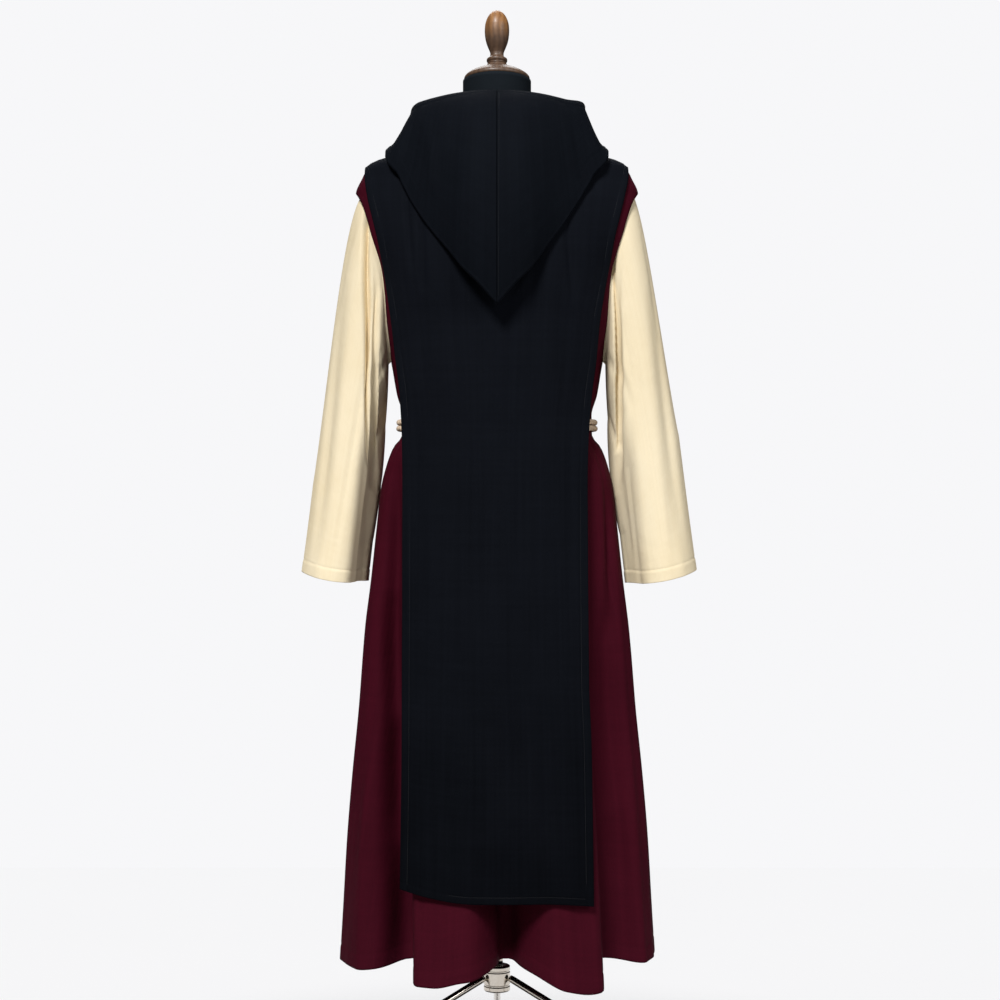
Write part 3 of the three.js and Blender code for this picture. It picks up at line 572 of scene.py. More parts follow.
def softSun(name, turn, height, strength, softness, receivers):
    lamp = bpy.data.lights.new(name, "SUN")
    lamp.energy, lamp.angle = strength, math.radians(softness)
    obj = bpy.data.objects.new(name, lamp)
    bpy.context.collection.objects.link(obj)
    turn, height = math.radians(turn), math.radians(height)
    level = math.cos(height)
    place = Vector((math.sin(turn) * level, math.cos(turn) * level, math.sin(height)))
    obj.rotation_euler = place.to_track_quat("Z", "Y").to_euler()
    obj.light_linking.receiver_collection = receivers


world = bpy.data.worlds.new("studio")
world.use_nodes = True
tree = world.node_tree
seen = tree.nodes.new("ShaderNodeMix")
seen.data_type = "RGBA"
seen.inputs[6].default_value, seen.inputs[7].default_value = view["skylight"], view["backdrop"]
tree.links.new(tree.nodes.new("ShaderNodeLightPath").outputs["Is Camera Ray"], seen.inputs[0])
tree.links.new(seen.outputs[2], tree.nodes["Background"].inputs["Color"])
bpy.context.scene.world = world

floorPaint = Paint("floorPaint")
floorTone = floorPaint.noise(floorPaint.coordinates(), 0.8, 2)
floorColour = floorPaint.blend(floorTone, (0.94, 0.94, 0.95, 1), (0.96, 0.96, 0.97, 1))
floorMesh = bpy.data.meshes.new("floor")
floorMesh.from_pydata([(-2, -2, 0), (2, -2, 0), (2, 2, 0), (-2, 2, 0)], [], [(0, 1, 2, 3)])
floorObject = bpy.data.objects.new("floor", floorMesh)
bpy.context.collection.objects.link(floorObject)
floorPaint.finish(Base_Color=floorColour, Roughness=1.0, Specular_IOR_Level=0.0)
floorMesh.materials.append(floorPaint.material)

# The floor has a light of its own, straight down, so that it stays even and pale
for state in ("EXCLUDE", "INCLUDE"):
    receivers = bpy.data.collections.new(f"floor{state.title()}")
    receivers.objects.link(floorObject)
    receivers.collection_objects[0].light_linking.link_state = state
    if state == "INCLUDE":
        softSun("floorLight", 0, 90, view["floorLight"], 40, receivers)
    else:
        for name, light in view["lights"].items():
            softSun(name, *light, receivers)

tunic = {
    "rings": columns(
        "z side back front power",
        (165, 285, 222, 214, 2.2), (292, 277, 209, 202, 2.2), (411, 270, 198, 191, 2.2),
        (522, 261, 186, 180, 2.2), (636, 250, 174, 169, 2.2), (780, 239, 159, 156, 2.25),
        (871, 228, 150, 146, 2.3), (964, 218, 140, 136, 2.3), (1037, 210, 131, 126, 2.3),
        (1075, 201, 123, 118, 2.3), (1110, 188, 112, 107, 2.3), (1132, 172, 104, 98, 2.3),
        (1168, 171, 104, 98, 2.3), (1205, 181, 112, 109, 2.3), (1262, 191, 118, 118, 2.3),
        (1343, 213, 124, 127, 2.3), (1430, 230, 125, 129, 2.3), (1501, 253, 118, 121, 2.3),
        (1548, 257, 107, 109, 2.25), (1572, 256, 97, 101, 2.2), (1598, 245, 87, 90, 2.2),
        (1614, 236, 83, 84, 2.2), (1624, 220, 80, 81, 2.2), (1631, 197, 78.5, 79, 2.2),
        (1642, 168, 76.5, 76, 2.2), (1654, 146, 75, 74, 2.2), (1670, 117, 72, 70, 2.2),
        (1690, 84, 70, 68, 2.2), (1710, 60, 68, 66, 2.2),
    ),
    "valleys": columns(
        "waist hem start spread depth",
        (24, 40.5, 1110, 15, 78), (86, 98, 1010, 22, 100), (151, 148.5, 1085, 14, 62),
        (205, 201, 1060, 13, 50), (236, 230, 1090, 14, 70), (268, 264, 1020, 15, 84),
        (302, 299, 1080, 14, 66), (334, 333, 1050, 13, 54),
    ),
    "hem": columns(
        "angle z",
        (-180, 200), (-165, 192), (-150, 184), (-130, 170), (-110, 168), (-92, 177), (-72, 170),
        (-52, 163), (-30, 182), (0, 192), (20, 188), (36, 182), (50, 174), (62, 172), (74, 182),
        (86, 187), (98, 184), (110, 182), (121, 165), (132, 157), (141, 164), (151, 184),
        (165, 194), (180, 200),
    ),
    "valleyGrowth": 0.8,  # below 1 a valley deepens faster at its top than at the hem
    "valleyLift": 20,
    "armholeTop": 1572,
    "armholeBottom": 1262,
    "armholeAngle": math.radians(17.5),
    "armholeRound": 0.95,  # below 1 its oval is fuller towards both ends
    "hemFold": 26,
    # The smaller folds, by the angle round the body
    "foldsBack": columns(
        "across0 down0 across1 down1 wide depth",
        (141.7, 820, 136.5, 20, 4.5, 4), (170, 960, 168, 20, 5, 5), (11, 990, 9, 20, 5.5, 5),
        (156, 880, 158, 20, 4.5, -4), (30, 1090, 33, 640, 4, -5), (20, 860, 18, 300, 4, -3),
        (34, 620, 29, 60, 4, 3), (72, 940, 75, 240, 6, -4), (131, 960, 128, 320, 4, -4),
        (112, 800, 108, 160, 5, -3), (163, 1080, 161, 760, 3.5, -3.5), (6, 700, 3, 180, 3.5, -2.5),
        (177, 760, 176, 240, 3.5, -2.5), (52, 700, 55, 220, 4, -3), (24, 1420, 33, 1220, 5, -3),
        (0, 800, 0, 20, 14, -6), (180, 760, 180, 20, 14, 3),
        (19.5, 1080, 26, 620, 4.4, -19), (21.5, 850, 33.5, 400, 5, -26), (26.5, 630, 38.5, 180, 6, -30),
        (33, 410, 41, -80, 7, -36), (166, 1050, 158, 760, 5, -10), (158, 820, 154.5, 330, 6.5, -14),
        (155, 460, 154, -60, 7, -15), (97, 430, 100, -60, 10, -11),
        (157, 1430, 149, 1230, 5, -3), (14, 1300, 19, 1180, 4, -2.5), (166, 1310, 163, 1190, 4, -3),
    ),
    "foldsFront": columns(
        "across0 down0 across1 down1 wide depth",
        (-19, 930, -13, 20, 5, 5), (-33, 1090, -36, 560, 4, -4), (-60, 960, -66, 200, 5, -4),
        (-84, 1000, -80, 40, 6, -4), (-101, 760, -104, 160, 5, -3), (-128, 1040, -126, 420, 5, -4),
        (-141, 900, -144, 60, 4.5, 3.5), (-152, 1080, -155, 700, 4, -4), (-165, 940, -170, 20, 5, 5),
        (-9, 820, -6, 260, 3.5, -3), (-173, 720, -175, 220, 3.5, -2.5), (-47, 620, -44, 140, 4, -3),
        (0, 800, 0, 20, 14, -6), (180, 760, 180, 20, 14, 3),
        (-21, 1420, -30, 1230, 5, -3), (-158, 1410, -150, 1240, 5, -3.5), (-166, 1290, -162, 1190, 4, -2.5),
    ),
    "gathers": columns(
        "place below above wide depth",
        (3, 150, 70, 2.6, 3.2), (13, 90, 44, 2.2, 2.4), (25, 210, 96, 3.2, 3.8), (38, 120, 60, 2.6, 2.6),
        (51, 170, 84, 3, 3.2), (66, 100, 50, 2.6, 2.4), (80, 190, 70, 3.2, 3), (94, 110, 90, 2.8, 2.6),
        (109, 160, 52, 3, 3), (123, 90, 76, 2.6, 2.4), (138, 200, 60, 3.2, 3.6), (152, 120, 92, 2.8, 2.8),
        (164, 160, 48, 2.4, 3.4), (175, 80, 72, 2.2, 2.2), (187, 140, 56, 2.6, 3), (199, 90, 88, 2.4, 2.6),
        (213, 180, 62, 3.2, 3.4), (229, 110, 80, 2.8, 2.6), (243, 150, 46, 3, 3), (258, 90, 70, 2.6, 2.4),
        (271, 170, 58, 3, 3.2), (286, 100, 84, 2.8, 2.6), (302, 190, 54, 3.2, 3.4), (317, 120, 76, 2.6, 2.8),
        (331, 150, 50, 2.8, 3.2), (346, 100, 66, 2.4, 2.6),
    ),
}


def valleyShare(angle, height):
    # Each valley grows from its start down to the hem: depth x drop^growth x a squared cosine across
    inset = np.zeros(np.broadcast(angle, height).shape)
    share = np.zeros_like(inset)
    table = tunic["valleys"]
    for waist, hem, start, wide, depth in zip(*table.values()):
        drop = np.clip((start - height) / (start - shared["floorToHem"]), 0, None)
        middle = np.radians(mix(waist, hem, np.minimum(1, drop)))
        shape = bump(turnTo(angle, middle), math.radians(wide))
        inset = inset + depth * drop ** tunic["valleyGrowth"] * shape
        share = share + np.where(drop > 0, shape, 0)
    return inset, np.minimum(1, share)


def tunicSurface(angle, z):
    return ringPoint(tunic["rings"], angle, z, valleyShare(angle, z)[0])


def hemZ(angle):
    # The hem's own height round the body, and higher in the valleys
    share = valleyShare(angle, np.full_like(angle, shared["floorToHem"]))[1]
    return read(tunic["hem"], "angle", np.degrees(turnTo(angle, 0)), "z") + tunic["valleyLift"] * share


def armholeEdge(z):
    # Half of the armhole's spread: the angle x sqrt(1 - height^2)^round, as an upright oval
    middle = (tunic["armholeTop"] + tunic["armholeBottom"]) / 2
    height = np.minimum(1, np.abs(z - middle) / (tunic["armholeTop"] - middle))
    return tunic["armholeAngle"] * np.sqrt(1 - height * height) ** tunic["armholeRound"]


def tunicPanel(name, node, side, folds):
    low, top = tunic["armholeBottom"], tunic["armholeTop"]
    waistLow, waistTop = shared["waist"] - shared["beltBand"], shared["waist"] + shared["beltBand"]
    armhole = mix(low, top, (1 + np.cos(np.linspace(math.pi, 0, 44))) / 2)
    upper = np.concatenate([
        np.linspace(waistTop, low, 18)[:-1], armhole, np.linspace(top, shared["neckline"], 30)[1:]])
    u = crowded(140, 0.3)
    seam = np.arcsin(shared["seam"] / 2 / read(tunic["rings"], "z", upper, "side"))
    edge = np.where((upper > low) & (upper < top), np.maximum(armholeEdge(upper), seam), seam)
    start, end = (0, 1) if side > 0 else (1, 0)
    share = mix(start, end, u)
    bodiceAngle = side * mix(edge[:, None], math.pi - edge[:, None], share)
    bodiceHeight = np.broadcast_to(upper[:, None], bodiceAngle.shape)
    skirtAngle = side * mix(seam[0], math.pi - seam[0], share)
    rise = along((0, 0.07, 16), (0.07, 1, 100))[:, None]
    skirtHeight = mix(hemZ(skirtAngle), waistLow, rise)
    angle = np.concatenate([np.broadcast_to(skirtAngle, skirtHeight.shape), bodiceAngle])
    height = np.concatenate([skirtHeight, bodiceHeight])
    points = tunicSurface(angle, height)

    degrees = np.degrees(turnTo(angle, 0))
    amount = creases(folds, degrees, height, 360)
    for place, below, above, wide, depth in zip(*tunic["gathers"].values()):
        # the belt's gathers, deepest next to the rope
        away = (degrees - place + 180) % 360 - 180
        under = np.clip((waistLow - height) / below, 0, 1)
        over = np.clip((height - waistTop) / above, 0, 1)
        near = np.where(height > shared["waist"], over, under)
        amount = amount - depth * bump(away, wide) * (1 - near) ** 1.5 * np.minimum(1, near * 9 + 0.15)
    hemAway = fromEdge(points, "bottom")
    sides = np.minimum(fromEdge(points, "left"), fromEdge(points, "right"))
    amount = amount - 0.5 * bump(hemAway - tunic["hemFold"], 5) - 0.9 * bump(sides, 4)
    points = pushed(points, amount)
    # the two panels keep meeting down their side seams
    sewn = np.concatenate([np.ones(len(rise), bool), edge <= seam])
    points[np.ix_(sewn, [0, -1], [1])] = side * shared["seam"] / 2
    return clothPiece(name, points, paints["tunic"], "tunic_cloth", node, folded=hemAway < tunic["hemFold"])


tunicBack = tunicPanel("tunicBack", "tunic_back", 1, tunic["foldsBack"])
tunicFront = tunicPanel("tunicFront", "tunic_front", -1, tunic["foldsFront"])
print("tunic made")

sleeves = {
    "cuffs": {1: (294, 60, 9), -1: (298, 64, 12)},  # middle, half width and slant on each side
    "cuffHalfDepth": 84, "cuffHeight": 877, "cuffSag": 7,
    "tuck": 8, "turnEnds": 7.5, "turnMiddle": 3.2,
    "hang": (0.13, 0, -0.99),  # the way in which it leaves the shoulder
    "creases": columns(
        "start0 end0 from_ to spread depth",
        (80, 168, 0.05, 0.62, 20, 13), (35, 60, 0.3, 0.98, 22, 8), (120, 128, 0.45, 1, 20, 9),
        (282, 200, 0.05, 0.6, 22, 12), (300, 290, 0.4, 1, 24, 9),
    ),
    "hemFold": 22,
    # The smaller wrinkles, by the turn round the sleeve and the share of its length
    "wrinkles": {
        1: columns(
            "across0 down0 across1 down1 wide depth",
            (150, 0.02, 118, 0.3, 9, -3), (128, 0.1, 104, 0.42, 8, -2.2), (172, 0.22, 140, 0.52, 9, -3),
            (96, 0.35, 88, 0.98, 10, -2), (60, 0.5, 66, 1.3, 14, 1.4), (150, 0.5, 158, 0.86, 12, -1.2),
            (176, 0.6, 168, 1.3, 10, 2.6), (30, 0.1, 22, 0.44, 9, -1.6), (196, 0.3, 232, 0.58, 10, -3),
            (262, 0.06, 240, 0.4, 10, -2.8), (300, 0.3, 286, 0.92, 10, -2.2), (326, 0.5, 320, 1.3, 11, 2.2),
            (246, 0.6, 252, 1.3, 10, 2.4), (214, 0.66, 208, 0.94, 8, -2), (0, -0.1, 0, 0.8, 55, -5),
            (28, -0.1, 132, 0.58, 14, -20), (120, 0.42, 128, 1.3, 20, 7),
            (148, 0.16, 150, 1.4, 46, -15),
            (180, 0.32, 180, 0.82, 40, 4),
        ),
        -1: columns(
            "across0 down0 across1 down1 wide depth",
            (146, 0.03, 112, 0.34, 9, -3), (124, 0.14, 96, 0.5, 8, -2.4), (168, 0.26, 146, 0.48, 9, -3.2),
            (82, 0.4, 84, 0.96, 9, -1.8), (54, 0.54, 60, 1.3, 14, 1.4), (154, 0.54, 150, 0.9, 12, -1.2),
            (178, 0.64, 172, 1.3, 10, 2.4), (24, 0.16, 30, 0.5, 9, -1.6), (202, 0.26, 226, 0.56, 10, -2.8),
            (256, 0.1, 238, 0.44, 10, -2.6), (292, 0.36, 280, 0.88, 10, -2.4), (332, 0.46, 324, 1.3, 11, 2),
            (238, 0.58, 246, 1.3, 10, 2.6), (218, 0.62, 206, 0.9, 8, -2.2), (0, 0, 0, 0.7, 55, -9),
            (68, -0.1, 152, 0.46, 13, -17), (120, 0.42, 128, 1.3, 20, 7),
            (148, 0.2, 150, 1.4, 42, -8),
            (180, 0.28, 180, 0.78, 40, 6),
        ),
    },
}


def bezier(a, b, c, d, t):
    t = t[..., None]
    return a * (1 - t) ** 3 + 3 * b * t * (1 - t) ** 2 + 3 * c * t * t * (1 - t) + d * t ** 3


def sleeveSurface(side, turn, along):
    # From under the armhole's edge, round it, and on a cubic curve down to the cuff's oval
    low, high = tunic["armholeBottom"], tunic["armholeTop"]
    top = (1 + np.cos(turn)) / 2
    z = mix(low, high, top)
    halfOval = np.abs(np.sin(turn)) ** tunic["armholeRound"] * np.sign(np.sin(turn))
    angle = tunic["armholeAngle"] * halfOval
    edge = tunicSurface(angle, z)
    normal = outward(tunicSurface, angle, z)
    centre = ringPoint(tunic["rings"], np.array(0.0), np.array((low + high) / 2))
    inward = centre - edge
    inward = unit(inward - normal * np.sum(inward * normal, -1, keepdims=True))
    drop = np.array(sleeves["hang"])
    leave = np.arctan2(normal @ drop, inward @ drop) - math.pi / 2
    wrapped = np.clip(leave, -math.pi / 2, math.pi / 2)
    radius = mix(sleeves["turnEnds"], sleeves["turnMiddle"], np.sin(turn) ** 2)[..., None]

    def round_(bend):
        return edge + radius * (inward * np.cos(bend)[..., None] + normal * np.sin(bend)[..., None])

    quarter = np.full_like(turn, -math.pi / 2)
    tucked = round_(quarter) - inward * (sleeves["tuck"] * (1 - along / 0.1))[..., None]
    part = np.clip((along - 0.1) / 0.1, 0, 1)
    turning = round_(mix(quarter, wrapped, part)) + drop * (5 * part)[..., None]
    start = round_(wrapped) + drop * 5
    cuffMiddle, cuffHalfWidth, slant = sleeves["cuffs"][side]
    cuffX = cuffMiddle + cuffHalfWidth * np.cos(turn)
    cuffZ = sleeves["cuffHeight"] + slant * np.cos(turn) - sleeves["cuffSag"] * np.sin(turn) ** 2
    end = stack(cuffX, sleeves["cuffHalfDepth"] * np.sin(turn), cuffZ)
    first = start + stack(mix(-2, 44, top), 14 * np.sin(turn), -mix(100, 58, top))
    second = end + stack(-mix(13, 37, top), 0, mix(128, 250, top))
    t = np.clip((along - 0.2) / 0.8, 0, 1)
    hanging = bezier(start, first, second, end, t)
    middle = stack(mix(245, cuffMiddle, t), 0, hanging[..., 2])
    creases = sleeves["creases"]
    for startTurn, endTurn, begin, stop, wide, depth in zip(*creases.values()):
        share = (t - begin) / (stop - begin)
        away = turnTo(turn, np.radians(mix(startTurn, endTurn, share)))
        fade = eased(share * 3) if stop >= 1 else np.sin(math.pi * np.clip(share, 0, 1))
        fade = np.where((share > 0) & (share < 1.02), fade, 0)
        push = depth * fade * bump(away, math.radians(wide))
        hanging = hanging + unit(middle - hanging) * push[..., None]
    part = along[..., None]
    return np.where(part < 0.1, tucked, np.where(part < 0.2, turning, hanging))


def sleeve(name, node, side):
    share = along((0, 0.2, 16), (0.2, 0.955, 130), (0.955, 1, 22))
    turn, down = np.meshgrid(np.linspace(0, math.tau, 121)[:-1] + 1e-4, share)
    points = sleeveSurface(side, turn, down)
    degrees, length = np.degrees(turn), np.clip((down - 0.2) / 0.8, 0, 1)
    amount = creases(sleeves["wrinkles"][side], degrees, length, 360)
    hemAway = fromEdge(points, "top")
    amount = amount - 0.7 * bump(hemAway - sleeves["hemFold"], 4)
    # the grid's normals point out of the sleeve where its rows run down, so they are turned
    points = pushed(points, -amount, True)
    if side < 0:
        points[..., 0] *= -1
        points = points[:, ::-1]
    obj = clothPiece(name, points, paints["sleeve"], "sleeve_cloth", node, True,
                     hemAway < sleeves["hemFold"])
    return obj, insetLine(points[:, ::-1], "top", sleeves["hemFold"], True)


sleeveLeft, cuffLineLeft = sleeve("sleeveLeft", "sleeve_left", 1)
sleeveRight, cuffLineRight = sleeve("sleeveRight", "sleeve_right", -1)
stitching("cuffStitching", [cuffLineLeft, cuffLineRight], paints["creamThread"], "sleeve_cloth")
print("sleeves made")

scapular = {
    "rings": columns(
        "z side back front power",
        (300, 292, 213, 205, 2.3), (411, 283, 202, 195, 2.3), (636, 268, 179, 174, 2.35),
        (780, 256, 165, 161, 2.4), (871, 246, 156, 151, 2.4), (964, 236, 147, 143, 2.45),
        (1037, 228, 139, 137, 2.45), (1110, 220, 132, 134, 2.45), (1164, 216, 129, 133, 2.45),
        (1262, 216, 128, 132.5, 2.4), (1343, 222, 128, 132, 2.35), (1400, 228, 128, 132, 2.3),
    ),
    "widths": columns(
        "z left right",
        (300, 170, 168), (411, 168.5, 167), (585, 167, 165), (700, 167, 161), (957, 167, 160),
        (1036, 167, 160), (1115, 168, 162), (1201, 172.5, 168.5), (1262, 180, 176.5),
        (1330, 188, 183), (1390, 196.5, 192), (1437, 204.5, 201.5), (1481, 213, 209.5),
        (1525, 224, 220.5), (1559, 232.5, 229), (1600, 238.5, 237), (1620, 239, 237.5),
        (1640, 260, 260),
    ),
    "hem": 317, "free": 1110, "release": 1360, "settled": 1440,
    "cornerLift": 22, "cornerReach": 0.36, "cornerDip": 8, "dipFrom": 0.7,
    "bodyGap": 2.9, "shoulderGap": 5.3, "float": 1.5,
    "ease": 6.6,  # how far it stands off over the shoulder blades, which its creases use up
    # Where the blades begin and end in height, each with its fading stretch, and how wide they are
    "blades": {"bottom": (1330, 90), "top": (1540, 60), "wide": (205, 60)},
    "plainFrom": (1600, 24),  # no creases over the shoulders
    "sideFold": 14, "hemFold": 12,
    # Its creases, by the distance from the middle plane and the height
    "creasesBack": columns(
        "across0 down0 across1 down1 wide depth",
        (104, 1500, 16, 1366, 12, -5), (-86, 1486, -18, 1368, 12, -5),
        (162, 1580, 148, 1420, 9, -5), (132, 1530, 127, 1380, 11, -5), (-121, 1525, -134, 1360, 11, -5.2),
        (107, 1500, 112, 1120, 24, 3.2), (-92, 1500, -101, 1090, 26, 3.2), (64, 1480, 74, 1230, 22, -3),
        (-62, 1480, -67, 1250, 20, -2.6), (-33, 1150, -52, 770, 15, -2.6), (42, 1100, 45, 940, 10, -1.8),
        (-12, 1060, -20, 600, 22, 2), (122, 940, 130, 160, 34, 2.6), (62, 800, 50, 140, 30, -2),
        (2, 660, -8, 140, 32, 2), (-86, 740, -97, 160, 28, -2), (-132, 600, -137, 140, 22, 2.2),
        (138, 1250, 146, 880, 16, -2), (-130, 1200, -128, 800, 14, -1.8), (20, 1330, 16, 1120, 14, -1.4),
    ),
    "creasesFront": columns(
        "across0 down0 across1 down1 wide depth",
        (156, 1570, 143, 1400, 10, -3.2), (-150, 1560, -138, 1390, 10, -3), (118, 1520, 112, 1330, 12, -3),
        (-110, 1530, -104, 1350, 11, -2.8), (88, 1480, 98, 1100, 24, 3), (-84, 1470, -96, 1130, 22, 3),
        (38, 1440, 46, 1180, 18, -2.4), (-30, 1420, -38, 1160, 18, -2.4), (14, 1180, 26, 760, 16, -2.4),
        (-52, 1090, -46, 880, 12, -2), (96, 900, 104, 150, 32, 2.4), (-10, 760, -4, 160, 30, 2),
        (52, 700, 44, 150, 24, -2), (-76, 820, -88, 150, 28, -2), (-124, 680, -130, 150, 24, 2.4),
        (140, 1160, 136, 820, 14, -1.8), (-138, 1260, -144, 900, 14, -2),
    ),
}


def scapularSurface(angle, z):
    # On the tunic's shoulders it follows the tunic, moved out; below the blades it hangs free
    apart = mix(scapular["bodyGap"], scapular["shoulderGap"], eased((z - 1500) / 80))
    worn = tunicSurface(angle, z) + outward(tunicSurface, angle, z) * np.asarray(apart)[..., None]
    hung = ringPoint(scapular["rings"], angle, z, -scapular["float"])
    share = eased((z - scapular["release"]) / (scapular["settled"] - scapular["release"]))
    return mix(hung, worn, np.asarray(share)[..., None])


def edgeAngle(z, half, side):
    # The angle at which the surface is so far from the middle plane, by halving
    low, high = np.zeros_like(z), np.full_like(z, math.pi / 2)
    for _ in range(40):
        middle = (low + high) / 2
        further = scapularSurface(side * middle, z)[..., 0] > half
        low, high = np.where(further, middle, low), np.where(further, high, middle)
    return low


def scapularPanel(name, node, side, folds):
    z = along((scapular["hem"], 341, 13), (341, 1200, 100), (1200, shared["neckline"] - 1, 86))
    seam = np.arcsin(shared["seam"] / 2 / read(tunic["rings"], "z", z, "side"))
    left = np.maximum(edgeAngle(z, read(scapular["widths"], "z", z, "left"), side), seam)
    right = np.maximum(edgeAngle(z, read(scapular["widths"], "z", z, "right"), side), seam)
    u = crowded(120, 0.55)
    u = u if side > 0 else u[::-1]
    angle = side * mix(left[:, None], math.pi - right[:, None], u)
    lift = scapular["cornerLift"] * np.clip(1 - u / scapular["cornerReach"], 0, 1) ** 1.6
    dip = scapular["cornerDip"] * np.clip((u - scapular["dipFrom"]) / (1 - scapular["dipFrom"]), 0, 1) ** 2
    drop = np.clip((scapular["free"] - z) / (scapular["free"] - scapular["hem"]), 0, 1)
    height = z[:, None] + (lift - dip) * drop[:, None]
    points = scapularSurface(angle, height)

    across = np.minimum(fromEdge(points, "left"), fromEdge(points, "right"))
    up = fromEdge(points, "bottom")
    amount = creases(folds, points[..., 0], height)
    amount = amount - 0.6 * bump(across - scapular["sideFold"], 4) - 0.6 * bump(up - scapular["hemFold"], 4)
    (bottom, rise), (top, fall), (half, fade) = scapular["blades"].values()
    blades = eased((height - bottom) / rise) * (1 - eased((height - top) / fall))
    blades = blades * eased((half - np.abs(points[..., 0])) / fade)
    plain, over = scapular["plainFrom"]
    points = pushed(points, amount * (1 - eased((height - plain) / over)) + scapular["ease"] * blades)
    folded = ((across < scapular["sideFold"]) | (up < scapular["hemFold"])) & (height < plain)
    obj = clothPiece(name, points, paints["scapular"], "scapular_cloth", node, folded=folded)
    lines = [insetLine(points, edge, scapular["sideFold"]) for edge in ("left", "right")]
    return obj, lines + [insetLine(points, "bottom", scapular["hemFold"])]


scapularBack, linesBack = scapularPanel("scapularBack", "scapular_back", 1, scapular["creasesBack"])
scapularFront, linesFront = scapularPanel("scapularFront", "scapular_front", -1, scapular["creasesFront"])
stitching("scapularStitching", linesBack + linesFront, paints["blackThread"], "scapular_cloth")
print("scapular made")

hood = {
    "sections": columns(
        "angle foldZ faceR faceZ",
        (-90, 1654, 84, 1672), (-65, 1652, 96, 1679), (-40, 1647, 122, 1688), (-15, 1643, 145, 1704),
        (0, 1637, 152, 1715), (9, 1631, 155, 1722), (20, 1605, 152, 1727), (29, 1567, 143, 1730),
        (38.5, 1528, 133, 1733), (47.5, 1491, 124, 1736), (55, 1464, 117, 1738), (65, 1429, 109, 1740),
        (77, 1398, 101, 1742), (85, 1376, 98, 1742.5), (90, 1363, 97, 1742.5),
    ),
    "layer": 7.4, "tipLift": 20, "foldRadius": (5, 6.5), "puffBack": 46, "puffSide": -5, "puffFront": 4,
    "inner": 0.42, "turned": 0.5,
    "faceFold": 13, "seamTopstitch": 4,
    "leftSag": 8, "cornerUp": 6, "cornerOut": 5,  # how its two sides differ
    "sagAt": (40, 28), "cornerAt": (12, 20),  # and where, as a middle angle and a spread
    "tipFrom": (44, 30),  # its tip stands off from this angle on, over so many degrees
    # Its creases, by the angle from the side to the middle of the back and the share of the cloth
    "creases": {
        1: columns(
            "across0 down0 across1 down1 wide depth",
            (62, 0.52, 58, 0.94, 9, -1.8), (30, 0.56, 44, 0.98, 9, -2.6), (46, 0.6, 34, 0.86, 7, 2),
            (74, 0.6, 70, 0.9, 7, 1.4), (4, 0.54, 14, 0.96, 9, -3), (-30, 0.54, -24, 0.94, 12, -2.4),
            (-56, 0.56, -60, 0.96, 11, 2), (-78, 0.6, -76, 0.94, 8, -1.6),
        ),
        -1: columns(
            "across0 down0 across1 down1 wide depth",
            (66, 0.54, 60, 0.9, 9, -1.6), (36, 0.54, 48, 0.96, 9, -2.2), (22, 0.58, 30, 0.9, 7, 2.2),
            (76, 0.58, 74, 0.86, 7, 1.2), (2, 0.56, 10, 0.97, 9, -3), (-26, 0.56, -32, 0.96, 12, -2.2),
            (-60, 0.54, -54, 0.9, 11, 2.2), (-74, 0.62, -80, 0.96, 8, -1.4),
        ),
    },
}


def hoodSurface(angle, along):
    # Down from the neck seam to the fold, round it in a half circle, and up on a cubic curve to
    # the face edge
    degrees = np.degrees(np.arcsin(np.sin(angle)))
    left = np.cos(angle) > 0
    foldZ = read(hood["sections"], "angle", degrees, "foldZ")
    foldZ = foldZ - np.where(left, hood["leftSag"], 0) * bump(degrees - hood["sagAt"][0], hood["sagAt"][1])

    tip = eased((degrees - hood["tipFrom"][0]) / hood["tipFrom"][1])
    drop = np.minimum(1, along / hood["inner"])

    def inner(z, lift=hood["tipLift"] * tip):
        normal = outward(scapularSurface, angle, z)
        return scapularSurface(angle, z) + normal * (hood["layer"] + lift)[..., None]

    lining = inner(mix(shared["neckline"], foldZ, drop), hood["tipLift"] * tip * drop ** 2)
    end = inner(foldZ)
    away = outward(scapularSurface, angle, foldZ)
    onward = unit(end - inner(foldZ + 2))
    turn = math.pi * np.clip((along - hood["inner"]) / (hood["turned"] - hood["inner"]), 0, 1)
    radius = mix(*hood["foldRadius"], tip)
    folding = end + away * (radius * (1 - np.cos(turn)))[..., None]
    folding = folding + onward * (radius * np.sin(turn))[..., None]
    start = end + away * (2 * radius)[..., None]
    corner = np.where(left, 0, bump(degrees - hood["cornerAt"][0], hood["cornerAt"][1]))
    faceR = read(hood["sections"], "angle", degrees, "faceR") + hood["cornerOut"] * corner
    faceZ = read(hood["sections"], "angle", degrees, "faceZ") + hood["cornerUp"] * corner
    face = stack(faceR * np.cos(angle), faceR * np.sin(angle), faceZ)
    back = np.sin(angle)
    puff = np.where(back > 0, mix(hood["puffSide"], hood["puffBack"], np.maximum(back, 0)),
                    mix(hood["puffSide"], hood["puffFront"], np.maximum(-back, 0)))
    rise = np.linalg.norm(face - start, axis=-1)
    first = start - onward * (0.33 * rise)[..., None] + away * puff[..., None]
    second = face + stack((0.04 * rise + 0.3 * puff) * np.cos(angle), (0.2 * rise + 0.6 * puff) * back,
                          -0.12 * rise)
    t = np.clip((along - hood["turned"]) / (1 - hood["turned"]), 0, 1)
    outer = bezier(start, first, second, face, t)
    part = along[..., None]
    return np.where(part <= hood["inner"], lining, np.where(part < hood["turned"], folding, outer))


